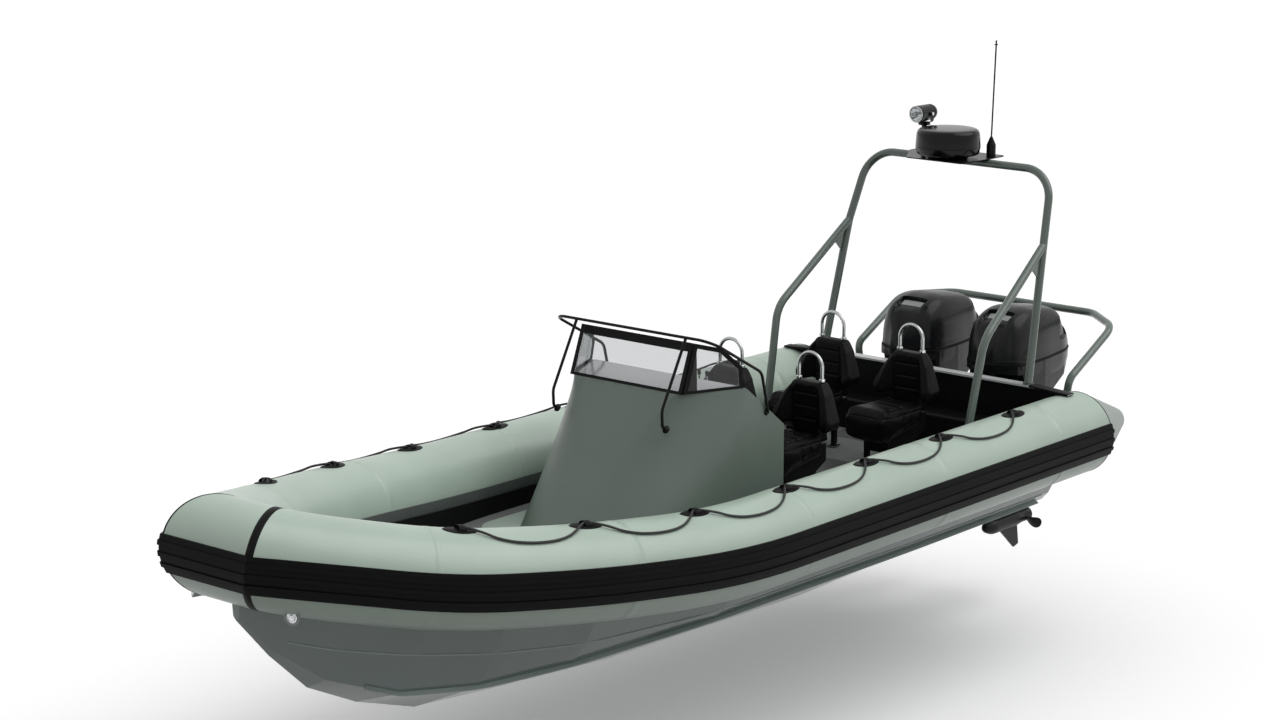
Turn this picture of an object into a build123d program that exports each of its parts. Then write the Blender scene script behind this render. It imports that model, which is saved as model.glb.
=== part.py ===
from build123d import *
from math import cos, degrees, hypot, radians, sin, sqrt, tan
import os

# Rigid-hulled inflatable boat with twin outboards.
# Millimetres. X is forward, Y to port, Z up. The origin lies on the centreline, amidships, at the waterline.

os.makedirs("parts", exist_ok=True)

# ---------------------------------------------------------------- driving dimensions
SEAT_GAP = 0.3            # gap left between faces that rest on each other and are curved
FACE_GAP = 0.2            # gap left between flat pieces bolted together
SIDE_GAP = 6.0            # gap beside a turning piece
SWING_GAP = 12.0          # gap around a piece that swings

# buoyancy tube
tube_radius = 300.0
tube_half_beam = 1250.0   # centreline to tube axis, amidships
tube_axis_z = 507.0
cone_base_x = -3377.0
cone_length = 560.0
cone_tip_radius = 70.0
cone_tip_fillet = 45.0
bow_axis_x = 3627.0
bow_axis_z = 933.0
bow_half_width = 219.0

# corners of the tube axis forward of the straight run: x, y, z
tube_corners = [
    (831.0, tube_half_beam, tube_axis_z),
    (1914.0, 1069.0, 609.0),
    (2781.0, 788.0, 716.0),
    (3456.0, 365.0, 878.0),
]

# rubbing strake on the outside of the tube
strake_thickness = 14.0
strake_low = -122.0       # lower edge from the tube's axis
strake_high = 108.0
ridge_height = 9.0
ridge_half_width = 13.0
ridge_offsets = (-73.0, -7.0, 59.0)

# hull
hull_stern_x = -3350.0
transom_thickness = 90.0
transom_top_z = 690.0
deck_top_z = 325.0
deck_thickness = 25.0
deck_front_x = 2080.0
deck_clearance = 14.0     # deck edge to tube
bow_step_rise = 330.0

# hull sections: x, keel z, chine y, chine z, knuckle y, knuckle z, drawn for a tube half beam of 1250
hull_drawn_half_beam = 1250.0
hull_sections = [
    (hull_stern_x, -556.0, 930.0, -70.0, 985.0, -10.0),
    (-1700.0, -592.0, 925.0, -78.0, 985.0, -10.0),
    (400.0, -530.0, 880.0, -80.0, 965.0, 0.0),
    (1600.0, -435.0, 720.0, -110.0, 845.0, 50.0),
    (2250.0, -375.0, 545.0, -125.0, 690.0, 118.0),
    (2750.0, -208.0, 375.0, -75.0, 505.0, 195.0),
    (3150.0, -12.0, 165.0, 70.0, 262.0, 275.0),
    (3450.0, 265.0, 50.0, 300.0, 82.0, 372.0),
    (3690.0, 535.0, 12.0, 545.0, 24.0, 560.0),
]
sheer_inset = 120.0       # tube axis to hull top edge, inwards
sheer_drop = 150.0        # tube axis to hull top edge, downwards

# bulkhead ahead of the engine well
bulkhead_x = -3231.0
bulkhead_thickness = 26.0
bulkhead_top_z = 828.0
bulkhead_half_width = tube_half_beam + 36.0
bulkhead_tip_z = 815.0
bulkhead_straight_y = tube_half_beam - 290.0
cap_width = 84.0
cap_thickness = 14.0

# inside edge of the tube
liner_thickness = 9.0
liner_clearance = 4.0
liner_top_drop = 64.0
band_thickness = 10.0
band_rise = 12.0
liner_front_x = 2040.0

# lockers
locker_depth = 225.0
locker_height = 232.0
locker_half_width = 700.0
locker_fillet = 22.0

# seats: pitch fore and aft, spacing across
seat_rows_x = (-1333.0, -2542.0)
seat_y = 352.0
seat_leg_height = 130.0
seat_leg_side = 34.0
seat_base_length = 420.0
seat_base_width = 210.0
seat_base_height = 165.0
seat_foot_thickness = 8.0
seat_base_rear_rise = 105.0
cushion_length = 540.0
cushion_width = 350.0
cushion_thickness = 150.0
cushion_nose_drop = 80.0  # underside, from the back of the cushion to its nose
cushion_nose_rise = 20.0
cushion_nose_length = 100.0
back_thickness = 120.0    # at the middle, with the hoop over its centre
back_top_width = 240.0
back_wing_width = 530.0
back_wing_reach = 150.0   # from the hoop's line forward
back_wing_foot_gap = 14.0 # wing to cushion
back_shoulder_width = 360.0
back_shoulder_drop = 80.0
back_waist_width = 250.0
hoop_width = 225.0
hoop_rise = 192.0
hoop_tube_radius = 13.0

# console
console_half_width = 672.0
console_front_x = 860.0
console_aft_x = -615.0
console_foot_z = deck_top_z + 34.0
console_top_z = 1318.0
console_crest_x = 242.0   # foot of the windscreen
console_crest_half_width = 494.0
console_brow_x = -200.0   # top of the dash slope
console_corner_x = 620.0  # where the cut corner meets the side at the foot
console_aft_top_z = 996.0
console_corner_fillet = 120.0
plinth_margin = 84.0
plinth_corner = 190.0

# windscreen
screen_inset = 14.0       # screen to the edge of the console's top
screen_thickness = 6.0
screen_rise = 321.0
screen_lean = 123.0
screen_aft_rise = 140.0
screen_knee_share = 0.70  # where along the side the top edge bends
screen_knee_rise = 272.0
screen_sink = 12.0
frame_section = 30.0
frame_brow = 30.0         # extra depth of the frame's top bar
frame_thickness = 13.0

# rail round the screen
rail_radius = 10.0
rail_side_gap = 14.0      # console side to the rail's axis
rail_anchor_x = -420.0
rail_anchor_z = 1116.0
rail_bend_x = -348.0
rail_bend_z = 1398.0
rail_front_x = 178.0
rail_top_z = 1688.0
rail_bend_radius = 95.0
rail_corner_radius = 120.0
rail_leg_y = 470.0
rail_leg_z = 1112.0
rail_leg_reach = 46.0
rail_knee_forward = 44.0  # the leg's knee, from its foot
rail_knee_rise = 131.0
rail_boss_radius = 16.0
rail_boss_thickness = 6.0

# helm
helm_x = -556.0
helm_y = -312.0
column_radius = 44.0
wheel_radius = 170.0
wheel_rim_radius = 14.0
wheel_standoff = 96.0
wheel_hub_radius = 34.0
wheel_hub_length = 34.0
spoke_width = 26.0
spoke_thickness = 9.0
throttle_width = 110.0
throttle_length = 130.0
throttle_height = 58.0
lever_height = 110.0
lever_spacing = 60.0

# lifelines: rope and its patches
rope_radius = 8.0
patch_stations = [2714.0, 1892.0, 1030.0, 136.0, -731.0, -1600.0, -2493.0]
patch_angle = 87.0        # around the tube, from outboard to up
patch_length = 246.0
patch_width = 132.0
patch_thickness = 7.0
loop_length = 52.0
loop_width = 60.0
loop_height = 21.0
scallop_angle = 55.0
scallop_power = 3.0
rope_crest = 0.1          # roundness of the rope where it passes a patch
rope_rise = 2.4           # rope above the tube, for the chords between its points

# inflation valves
valve_x = 3496.0
valve_angle = -60.0
valve_radius = 36.0
valve_height = 9.0

# arch
arch_radius = 30.0
arch_foot_y = tube_half_beam - 325.0
arch_knee = (-3445.0, tube_half_beam - 376.0, 1832.0)
arch_shoulder = (-3624.0, tube_half_beam - 435.0, 2354.0)
arch_bend = 250.0
brace_bend_point = (-2618.0, tube_half_beam - 325.0, 1267.0)
brace_foot_x = -2419.0
brace_foot_y = tube_half_beam - 365.0
brace_bend = 260.0
flange_thickness = 12.0
flange_radius = 40.0
gusset_thickness = 8.0
gusset_reach_hoop = 265.0
gusset_reach_brace = 230.0

# gear on the arch
plate_thickness = 8.0
plate_aft_x = -3830.0
plate_step_x = -3610.0
plate_front_x = -3290.0
plate_starboard_y = -440.0
plate_port_y = 275.0
plate_front_half = 250.0
radome_x = -3472.0
radome_radius = 243.0
radome_height = 192.0
radome_foot_radius = 150.0
radome_foot_height = 28.0
radome_edge = 42.0
light_x = -3715.0
light_y = -385.0
light_post_radius = 20.0
light_base_z = 2576.0
light_base_radius = 46.0
light_base_thickness = 8.0
lamp_radius = 64.0
lamp_length = 230.0
lamp_z = 2665.0
lamp_cheek_gap = 5.0
lamp_cheek_half = 20.0
lamp_cheek_thickness = 6.0
antenna_x = -3730.0
antenna_y = 212.0
antenna_base_radius = 35.0
antenna_base_height = 85.0
antenna_cone_height = 60.0
whip_radius = 6.0
whip_length = 724.0
whip_lean = 22.0
whip_disc_radius = 14.0
whip_disc_drop = 34.0

# guard rail astern
guard_radius = 29.0
guard_side_y = tube_half_beam - 284.0
guard_foot_y = tube_half_beam - 310.0
guard_foot_z = 638.0
guard_foot_x = -3715.0
guard_knee_z = 800.0
guard_corner_x = -4300.0
guard_corner_z = 1100.0
guard_aft_x = -4551.0
guard_aft_y = 640.0
guard_aft_z = 1124.0
guard_bend = 90.0
guard_corner_bend = 200.0
guard_flange_lip = 16.0

# engines
engine_y = 395.0
tilt_axis_x = -3400.0
tilt_axis_z = 750.0
steer_axis_x = -3520.0
clamp_y = 110.0
clamp_thickness = 20.0
clamp_bottom_z = 420.0
clamp_reach = 40.0
tilt_pin_radius = 22.0
tilt_boss_radius = 40.0
barrel_radius = 45.0
barrel_bottom_z = 250.0
barrel_top_z = 730.0
yoke_radius = 42.0
bearing_gap = 0.5
clamp_hook_depth = 80.0
clamp_hook_width = 26.0
clamp_tie_thickness = 16.0
clamp_tie_height = 120.0
swivel_arm_bottom_z = 600.0
swivel_arm_half_width = 60.0
steer_pin_radius = 18.0
yoke_height = 55.0
cowl_split_z = 873.0
cowl_plan_reach = 260.0
prop_shaft_radius = 14.0
prop_blade_half_chord = 66.0
strut_front_x = -3622.0
strut_back_x = -3908.0
strut_half_width = 30.0
skeg_half_thickness = 8.0
prop_axis_z = -413.0
prop_plane_x = -4029.0
prop_radius = 170.0
prop_hub_radius = 52.0
prop_hub_length = 96.0
prop_blade_thickness = 12.0
prop_pitch_angle = 32.0
gearcase_radius = 62.0
gearcase_nose_x = -3490.0
gearcase_tail_x = -3978.0
fin_z = -215.0
fin_thickness = 14.0

# outlines seen from the side: x, z
cowl_profile = [(-3430.0, cowl_split_z), (-3452.0, 1040.0), (-3540.0, 1205.0), (-3738.0, 1279.0), (-4010.0, 1222.0),
                (-4308.0, 1089.0), (-4400.0, 985.0), (-4434.0, cowl_split_z)]
pan_profile = [(-3440.0, cowl_split_z), (-3440.0, 812.0), (-3600.0, 800.0), (-3640.0, 620.0), (-4020.0, 600.0),
               (-4380.0, 740.0), (-4434.0, 800.0), (-4434.0, cowl_split_z)]
skeg_profile = [(-3640.0, prop_axis_z), (-3902.0, -643.0), (-3962.0, -625.0), (-3930.0, prop_axis_z)]
# outlines seen from above: x, half width
fin_plan = [(-3600.0, 0.0), (-3604.0, 34.0), (-3700.0, 112.0), (-4080.0, 112.0), (-4122.0, 60.0), (-4122.0, 0.0)]
# leg sections: z, front x, back x, half width
leg_sections = [(640.0, -3592.0, -4005.0, 125.0), (230.0, -3588.0, -3925.0, 88.0), (fin_z, -3596.0, -3905.0, 48.0)]
cowl_plan = [(-3430.0, 0.0), (-3445.0, 60.0), (-3470.0, 100.0), (-3510.0, 180.0), (-3545.0, 228.0), (-3640.0, 250.0),
             (-3900.0, 245.0), (-4250.0, 190.0), (-4434.0, 100.0), (-4434.0, 0.0)]
# outline seen from ahead: half width, z
cowl_section = [(0.0, 1290.0), (110.0, 1284.0), (185.0, 1225.0), (235.0, 1080.0), (250.0, cowl_split_z), (0.0, cowl_split_z)]


def bend_radii(points, share=0.45):
    """The largest radius that each corner of an open route has room for."""
    radii = []
    for before, corner, after in zip(points, points[1:], points[2:]):
        run_in = Vector(*corner) - Vector(*before)
        run_out = Vector(*after) - Vector(*corner)
        half_turn = radians(run_in.get_angle(run_out)) / 2
        radii.append(share * min(run_in.length, run_out.length) / tan(half_turn))
    return radii


def parallel(points, distance):
    """An open plan outline moved sideways, to its left for a positive distance."""
    moved = []
    for i, (x, y) in enumerate(points):
        normals = []
        for a, b in ((i - 1, i), (i, i + 1)):
            if 0 <= a and b < len(points):
                dx = points[b][0] - points[a][0]
                dy = points[b][1] - points[a][1]
                normals.append((-dy / hypot(dx, dy), dx / hypot(dx, dy)))
        nx = sum(n[0] for n in normals) / len(normals)
        ny = sum(n[1] for n in normals) / len(normals)
        scale = distance / (nx * nx + ny * ny)
        moved.append((x + nx * scale, y + ny * scale))
    return moved


# ---------------------------------------------------------------- tube axis
mitre_point = Vector(bow_axis_x, bow_half_width, bow_axis_z)
last_corner = Vector(*tube_corners[-1])
bow_run = mitre_point - last_corner
axis_end = last_corner + bow_run * 2
tube_route = [(cone_base_x, tube_half_beam, tube_axis_z)] + tube_corners + [tuple(axis_end)]
tube_bends = bend_radii(tube_route)
mitre_normal = bow_run.normalized() + Vector(0, -1, 0)
mitre_plane = Plane(origin=mitre_point, z_dir=mitre_normal)

window_route = [(cone_base_x - cone_length, tube_half_beam, tube_axis_z)] + tube_route[1:-1]
window_route.append(tuple(axis_end + bow_run))
plan_route = [(x, y) for x, y, z in window_route]
side_route = [(x, z) for x, y, z in window_route]

with BuildLine() as tube_axis:
    FilletPolyline(*tube_route, radius=tube_bends)


def side_tube(radius):
    """The port tube from its stern seam to the mitre at the bow."""
    with BuildPart() as tube:
        with BuildSketch(Plane(origin=tube_axis.line @ 0, x_dir=(0, -1, 1), z_dir=tube_axis.line % 0)):
            Circle(radius)
        sweep(path=tube_axis.line)
        split(bisect_by=mitre_plane, keep=Keep.BOTTOM)
    return tube.part


def bow_tube(radius):
    """The short tube across the bow, between the two mitres."""
    with BuildPart() as tube:
        with BuildSketch(Plane.XZ.offset(-bow_half_width * 3)):
            with Locations((bow_axis_x, bow_axis_z)):
                Circle(radius)
        extrude(amount=bow_half_width * 6)
        split(bisect_by=mitre_plane, keep=Keep.TOP)
        split(bisect_by=Plane(origin=(bow_axis_x, -bow_half_width, bow_axis_z),
                              z_dir=(mitre_normal.X, -mitre_normal.Y, mitre_normal.Z)), keep=Keep.TOP)
    return tube.part


def side_band(low, high, reach):
    """The slab between two lines that keep their height on the side of the tube that lies reach outboard of its axis."""
    flank = [(x, z) for (x, _), (_, z) in zip(parallel(plan_route, reach), side_route)]
    last_x, last_z = flank[-2]
    if reach > 0:
        slope = (bow_axis_z - last_z) / (bow_axis_x + reach - last_x)
        flank[-1] = (flank[-1][0], last_z + slope * (flank[-1][0] - last_x))
    low_points = [(x, z + low) for x, z in flank]
    high_points = [(x, z + high) for x, z in flank]
    with BuildPart() as band:
        with BuildSketch(Plane.XZ.offset(-2 * tube_half_beam)):
            with BuildLine():
                low_edge = FilletPolyline(*low_points, radius=bend_radii(low_points))
                high_edge = FilletPolyline(*high_points, radius=bend_radii(high_points))
                Line(low_edge @ 0, high_edge @ 0)
                Line(low_edge @ 1, high_edge @ 1)
            make_face()
        extrude(amount=3 * tube_half_beam)
    return band.part


def plan_side(outside):
    """Everything outboard, or inboard, of the port tube's axis."""
    reach = 2 * tube_half_beam if outside else -tube_half_beam
    with BuildPart() as half:
        with BuildSketch(Plane.XY.offset(-tube_radius)):
            with BuildLine():
                axis_edge = FilletPolyline(*plan_route, radius=bend_radii(plan_route))
                Polyline(axis_edge @ 0, (plan_route[0][0], reach), (plan_route[-1][0], reach), axis_edge @ 1)
            make_face()
        extrude(amount=6 * tube_radius)
    return half.part


def tube_skin(inner, outer, low, high, outside):
    """A band of skin on the port tube: between two radii and two heights, on one side of the axis."""
    with BuildPart() as window:
        add(side_band(low, high, tube_radius if outside else -tube_radius))
        add(plan_side(outside), mode=Mode.INTERSECT)
    with BuildPart() as skin:
        add(side_tube(outer))
        add(side_tube(inner), mode=Mode.SUBTRACT)
        add(window.part, mode=Mode.INTERSECT)
    return skin.part


# ---------------------------------------------------------------- tubes
with BuildPart() as tube_port:
    add(side_tube(tube_radius))
    with BuildSketch(Plane(origin=(cone_base_x, tube_half_beam, tube_axis_z), x_dir=(-1, 0, 0), z_dir=(0, -1, 0))):
        with BuildLine():
            Polyline((0, 0), (0, tube_radius), (cone_length, cone_tip_radius), (cone_length, 0), (0, 0))
        make_face()
    revolve(axis=Axis((cone_base_x, tube_half_beam, tube_axis_z), (1, 0, 0)))
    fillet(tube_port.faces().sort_by(Axis.X)[0].edges(), cone_tip_fillet)
tube_port.part.label = "tube_port"

with BuildPart() as tube_starboard:
    mirror(tube_port.part, about=Plane.XZ)
tube_starboard.part.label = "tube_starboard"

with BuildPart() as tube_bow:
    add(bow_tube(tube_radius))
tube_bow.part.label = "tube_bow"

# ---------------------------------------------------------------- rubbing strake
strake_body = tube_skin(tube_radius + SEAT_GAP, tube_radius + strake_thickness,
                        strake_low, strake_high, outside=True)
strake_ridges = [
    tube_skin(tube_radius + strake_thickness - 1.0, tube_radius + strake_thickness + ridge_height,
              offset - ridge_half_width, offset + ridge_half_width, outside=True)
    for offset in ridge_offsets
]

with BuildPart() as strake_port:
    add(strake_body)
    add(strake_ridges)
strake_port.part.label = "strake_port"

with BuildPart() as strake_starboard:
    mirror(strake_port.part, about=Plane.XZ)
strake_starboard.part.label = "strake_starboard"



def bow_skin(inner, outer, low, high):
    """The same band of skin on the bow tube."""
    with BuildPart() as skin:
        add(bow_tube(outer))
        add(bow_tube(inner), mode=Mode.SUBTRACT)
        with BuildSketch(Plane.XY.offset(bow_axis_z + low)):
            with Locations((bow_axis_x + tube_radius, 0)):
                Rectangle(2 * tube_radius, 6 * bow_half_width)
        extrude(amount=high - low, mode=Mode.INTERSECT)
    return skin.part


bow_strake_body = bow_skin(tube_radius + SEAT_GAP, tube_radius + strake_thickness,
                           strake_low, strake_high)
bow_strake_ridges = [
    bow_skin(tube_radius + strake_thickness - 1.0, tube_radius + strake_thickness + ridge_height,
             offset - ridge_half_width, offset + ridge_half_width)
    for offset in ridge_offsets
]

with BuildPart() as strake_bow:
    add(bow_strake_body)
    add(bow_strake_ridges)
strake_bow.part.label = "strake_bow"

# ---------------------------------------------------------------- hull
with BuildLine() as side_curve:
    FilletPolyline(*side_route, radius=bend_radii(side_route))
with BuildLine() as plan_curve:
    FilletPolyline(*plan_route, radius=bend_radii(plan_route))


def on_curve(curve, x):
    """The other coordinate of a plan or side curve where it passes x."""
    low = 0.0
    high = 1.0
    for _ in range(40):
        middle = (low + high) / 2
        if (curve @ middle).X < x:
            low = middle
        else:
            high = middle
    return (curve @ low).Y


port_seat = side_tube(tube_radius + SEAT_GAP)
bow_seat = bow_tube(tube_radius + SEAT_GAP)

beam_scale = tube_half_beam / hull_drawn_half_beam
hull_sections = [(x, keel_z, chine_y * beam_scale, chine_z, knuckle_y * beam_scale, knuckle_z)
                 for x, keel_z, chine_y, chine_z, knuckle_y, knuckle_z in hull_sections]

with BuildPart() as hull:
    for x, keel_z, chine_y, chine_z, knuckle_y, knuckle_z in hull_sections:
        top_y = max(on_curve(plan_curve.line, x) - sheer_inset, 2 * knuckle_y)
        top_y = min(top_y, knuckle_y + 190)
        top_z = on_curve(side_curve.line, x) - sheer_drop
        with BuildSketch(Plane.YZ.offset(x)):
            with BuildLine():
                Polyline((0, keel_z), (chine_y, chine_z), (knuckle_y, knuckle_z), (top_y, top_z),
                         (-top_y, top_z), (-knuckle_y, knuckle_z), (-chine_y, chine_z), (0, keel_z))
            make_face()
    loft(ruled=True)
    with BuildSketch(Plane.XZ):
        with BuildLine():
            deck_seat_z = deck_top_z - deck_thickness
            Polyline((hull_stern_x - 50, deck_seat_z), (deck_front_x, deck_seat_z),
                     (bow_axis_x + tube_radius, deck_seat_z + bow_step_rise * 1.5),
                     (bow_axis_x + tube_radius, 2000), (hull_stern_x - 50, 2000), (hull_stern_x - 50, deck_seat_z))
        make_face()
    extrude(amount=2 * tube_half_beam, both=True, mode=Mode.SUBTRACT)
    add(port_seat, mode=Mode.SUBTRACT)
    mirror(port_seat, about=Plane.XZ, mode=Mode.SUBTRACT)
    add(bow_seat, mode=Mode.SUBTRACT)
hull.part.label = "hull"

# ---------------------------------------------------------------- deck
inner_route = plan_route[:-1]
deck_route = parallel(inner_route, -(tube_radius + deck_clearance))
deck_bends = bend_radii(deck_route)
with BuildLine():
    FilletPolyline(*deck_route, radius=deck_bends)

with BuildPart() as deck:
    with BuildSketch(Plane.XY.offset(deck_top_z - deck_thickness)):
        with BuildLine():
            edge = FilletPolyline(*deck_route, radius=deck_bends)
            Polyline(edge @ 0, (deck_route[0][0], 0), (deck_route[-1][0], 0), edge @ 1)
        make_face()
        mirror(about=Plane.XZ)
        with Locations(((bulkhead_x + deck_front_x) / 2, 0)):
            Rectangle(deck_front_x - bulkhead_x, 4 * tube_half_beam, mode=Mode.INTERSECT)
    extrude(amount=deck_thickness)
deck.part.label = "deck"

# ---------------------------------------------------------------- liners and inner bands
liner_route = parallel(inner_route, -(tube_radius + liner_clearance))
liner_inner_route = parallel(inner_route, -(tube_radius + liner_clearance + liner_thickness))
liner_top = side_band(-2 * tube_radius, -liner_top_drop, -tube_radius)
with BuildPart() as liner_half:
    with BuildSketch(Plane.XY.offset(deck_top_z - deck_thickness)):
        with BuildLine():
            outer_edge = FilletPolyline(*liner_route, radius=bend_radii(liner_route))
            inner_edge = FilletPolyline(*liner_inner_route, radius=bend_radii(liner_inner_route))
            Line(outer_edge @ 0, inner_edge @ 0)
            Line(outer_edge @ 1, inner_edge @ 1)
        make_face()
        liner_aft_x = bulkhead_x + bulkhead_thickness + FACE_GAP
        with Locations(((liner_aft_x + liner_front_x) / 2, tube_half_beam)):
            Rectangle(liner_front_x - liner_aft_x, 2 * tube_half_beam, mode=Mode.INTERSECT)
    extrude(amount=2 * tube_radius)
    add(liner_top, mode=Mode.INTERSECT)

with BuildPart() as side_liners:
    add(liner_half.part)
    mirror(liner_half.part, about=Plane.XZ)
side_liners.part.label = "side_liners"

band_half = tube_skin(tube_radius + SEAT_GAP, tube_radius + band_thickness, -liner_top_drop, band_rise, outside=False)
with BuildPart() as inner_bands:
    add(band_half)
    split(bisect_by=Plane.YZ.offset(liner_aft_x), keep=Keep.TOP)
    split(bisect_by=Plane.YZ.offset(liner_front_x), keep=Keep.BOTTOM)
    mirror(about=Plane.XZ)
inner_bands.part.label = "inner_bands"

# ---------------------------------------------------------------- transom and bulkhead
stern_tube_clearance = tube_radius + SEAT_GAP
stern = hull_sections[0]

with BuildPart() as transom:
    with BuildSketch(Plane.YZ.offset(hull_stern_x - FACE_GAP)):
        with BuildLine():
            Polyline((0, stern[1]), (stern[2], stern[3]), (stern[4], stern[5]), (tube_half_beam, tube_axis_z),
                     (tube_half_beam - 10, transom_top_z), (0, transom_top_z), (0, stern[1]))
        make_face()
        with Locations((tube_half_beam, tube_axis_z)):
            Circle(stern_tube_clearance, mode=Mode.SUBTRACT)
        mirror(about=Plane.YZ)
    extrude(amount=-transom_thickness)
transom.part.label = "transom"

with BuildPart() as bulkhead:
    with BuildSketch(Plane.YZ.offset(bulkhead_x)):
        with BuildLine():
            Polyline((0, deck_top_z), (tube_half_beam, deck_top_z), (bulkhead_half_width, bulkhead_tip_z - 12),
                     (bulkhead_half_width, bulkhead_tip_z), (bulkhead_straight_y, bulkhead_top_z),
                     (0, bulkhead_top_z), (0, deck_top_z))
        make_face()
        with Locations((tube_half_beam, tube_axis_z)):
            Circle(stern_tube_clearance, mode=Mode.SUBTRACT)
        mirror(about=Plane.YZ)
    extrude(amount=bulkhead_thickness)
bulkhead.part.label = "bulkhead"

with BuildPart() as bulkhead_cap:
    with BuildSketch(Plane.YZ.offset(bulkhead_x + bulkhead_thickness / 2 - cap_width / 2)):
        with BuildLine():
            Polyline((0, bulkhead_top_z), (bulkhead_straight_y, bulkhead_top_z),
                     (bulkhead_half_width, bulkhead_tip_z), (bulkhead_half_width, bulkhead_tip_z + cap_thickness / 2),
                     (bulkhead_straight_y, bulkhead_top_z + cap_thickness), (0, bulkhead_top_z + cap_thickness),
                     (0, bulkhead_top_z))
        make_face()
        mirror(about=Plane.YZ)
    extrude(amount=cap_width)
bulkhead_cap.part.label = "bulkhead_cap"

# ---------------------------------------------------------------- stern locker
with BuildPart() as stern_locker:
    with Locations((bulkhead_x + bulkhead_thickness + FACE_GAP, 0, deck_top_z)):
        Box(locker_depth, 2 * locker_half_width, locker_height, align=(Align.MIN, Align.CENTER, Align.MIN))
    fillet(stern_locker.edges().filter_by(Axis.Y).group_by(Axis.Z)[-1].sort_by(Axis.X)[-1:], locker_fillet)
stern_locker.part.label = "stern_locker"

# ---------------------------------------------------------------- seats
seat_places = [(x, y) for x in seat_rows_x for y in (seat_y, -seat_y)]
cushion_start = back_thickness / 2 + FACE_GAP
cushion_bottom_z = deck_top_z + seat_leg_height + seat_base_height
cushion_top_z = cushion_bottom_z + cushion_thickness
nose_x = cushion_start + cushion_length - cushion_nose_length
nose_bottom_z = cushion_bottom_z - cushion_nose_drop
hoop_top_z = 1330.0
back_bottom_z = cushion_bottom_z + 60.0
back_top_z = hoop_top_z - hoop_rise
wing_foot_z = cushion_top_z + cushion_nose_rise + back_wing_foot_gap


def seat_side(x, y, outline, width):
    """An outline seen from the side, forward of the hoop's line and up, drawn out to a width."""
    with BuildPart() as form:
        with BuildSketch(Plane(origin=(x, y, 0), x_dir=(1, 0, 0), z_dir=(0, -1, 0))):
            with BuildLine():
                Polyline(*outline, outline[0])
            make_face()
        extrude(amount=width / 2, both=True)
    return form.part


base_top_front_z = cushion_bottom_z - FACE_GAP - cushion_nose_drop * (seat_base_length - cushion_start) / (
    nose_x - cushion_start)
base_outline = [(-back_thickness / 2 + 10, cushion_bottom_z - seat_leg_height / 2),
                (-back_thickness / 2 + 10, back_bottom_z - FACE_GAP), (cushion_start - 10, back_bottom_z - FACE_GAP),
                (cushion_start - 10, cushion_bottom_z - FACE_GAP), (cushion_start, cushion_bottom_z - FACE_GAP),
                (seat_base_length, base_top_front_z), (seat_base_length, deck_top_z + seat_leg_height),
                (seat_base_rear_rise + 45, deck_top_z + seat_leg_height)]
leg_middle_x = seat_base_length / 2 + seat_leg_side
leg_reach_x = seat_base_length / 2 - seat_leg_side * 1.5

with BuildPart() as seat_bases:
    for x, y in seat_places:
        add(seat_side(x, y, base_outline, seat_base_width))
        with Locations((x + leg_middle_x, y, deck_top_z)):
            with GridLocations(2 * leg_reach_x, seat_base_width - seat_leg_side, 2, 2):
                Box(seat_leg_side, seat_leg_side, seat_leg_height + 60, align=(Align.CENTER, Align.CENTER, Align.MIN))
                Box(seat_leg_side * 1.8, seat_leg_side * 1.4, seat_foot_thickness,
                    align=(Align.CENTER, Align.CENTER, Align.MIN))
seat_bases.part.label = "seat_bases"

cushion_end = cushion_start + cushion_length
cushion_outline = [(cushion_start, cushion_bottom_z), (nose_x, nose_bottom_z),
                   (cushion_end - 15, nose_bottom_z + 45), (cushion_end, cushion_top_z - 50),
                   (cushion_end - 60, cushion_top_z + cushion_nose_rise), (cushion_start, cushion_top_z)]
with BuildPart() as seat_cushions:
    for x, y in seat_places:
        add(seat_side(x, y, cushion_outline, cushion_width))
    fillet(seat_cushions.edges().filter_by(lambda e: abs((e % 0.5).Y) < 0.1), 30)
seat_cushions.part.label = "seat_cushions"

back_front = back_thickness / 2 - 10
back_outline = [(back_waist_width / 2, back_bottom_z), (back_waist_width / 2, wing_foot_z),
                (back_wing_width / 2 - 12, wing_foot_z), (back_wing_width / 2, wing_foot_z + 60),
                (back_shoulder_width / 2, back_top_z - back_shoulder_drop), (back_top_width / 2, back_top_z)]
back_outline = back_outline + [(-y, z) for y, z in reversed(back_outline)]
back_section = [(-back_thickness / 2, back_waist_width / 2), (-10, back_wing_width / 2),
                (back_wing_reach - 30, back_wing_width / 2), (back_wing_reach, back_wing_width / 2 - 20),
                (back_wing_reach, back_wing_width / 2 - 50), (back_front, back_waist_width / 2)]
back_section = back_section + [(x, -y) for x, y in reversed(back_section)]
back_lean = [(-back_thickness / 2, back_bottom_z), (back_wing_reach, back_bottom_z),
             (back_wing_reach, wing_foot_z + 60), (back_wing_reach / 2, back_top_z - back_shoulder_drop),
             (back_front - 10, back_top_z), (-back_thickness / 2 + 10, back_top_z)]

with BuildPart() as seat_backs:
    for x, y in seat_places:
        with BuildPart(mode=Mode.PRIVATE) as back:
            with BuildSketch(Plane(origin=(x, y, back_bottom_z))):
                with BuildLine():
                    Polyline(*back_section, back_section[0])
                make_face()
            extrude(amount=back_top_z - back_bottom_z)
            with BuildSketch(Plane(origin=(x - back_thickness / 2, y, 0), x_dir=(0, 1, 0), z_dir=(1, 0, 0))):
                with BuildLine():
                    Polyline(*back_outline, back_outline[0])
                make_face()
            extrude(amount=back_thickness + back_wing_reach, mode=Mode.INTERSECT)
            add(seat_side(x, y, back_lean, back_wing_width), mode=Mode.INTERSECT)
        add(back.part)
seat_backs.part.label = "seat_backs"

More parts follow.
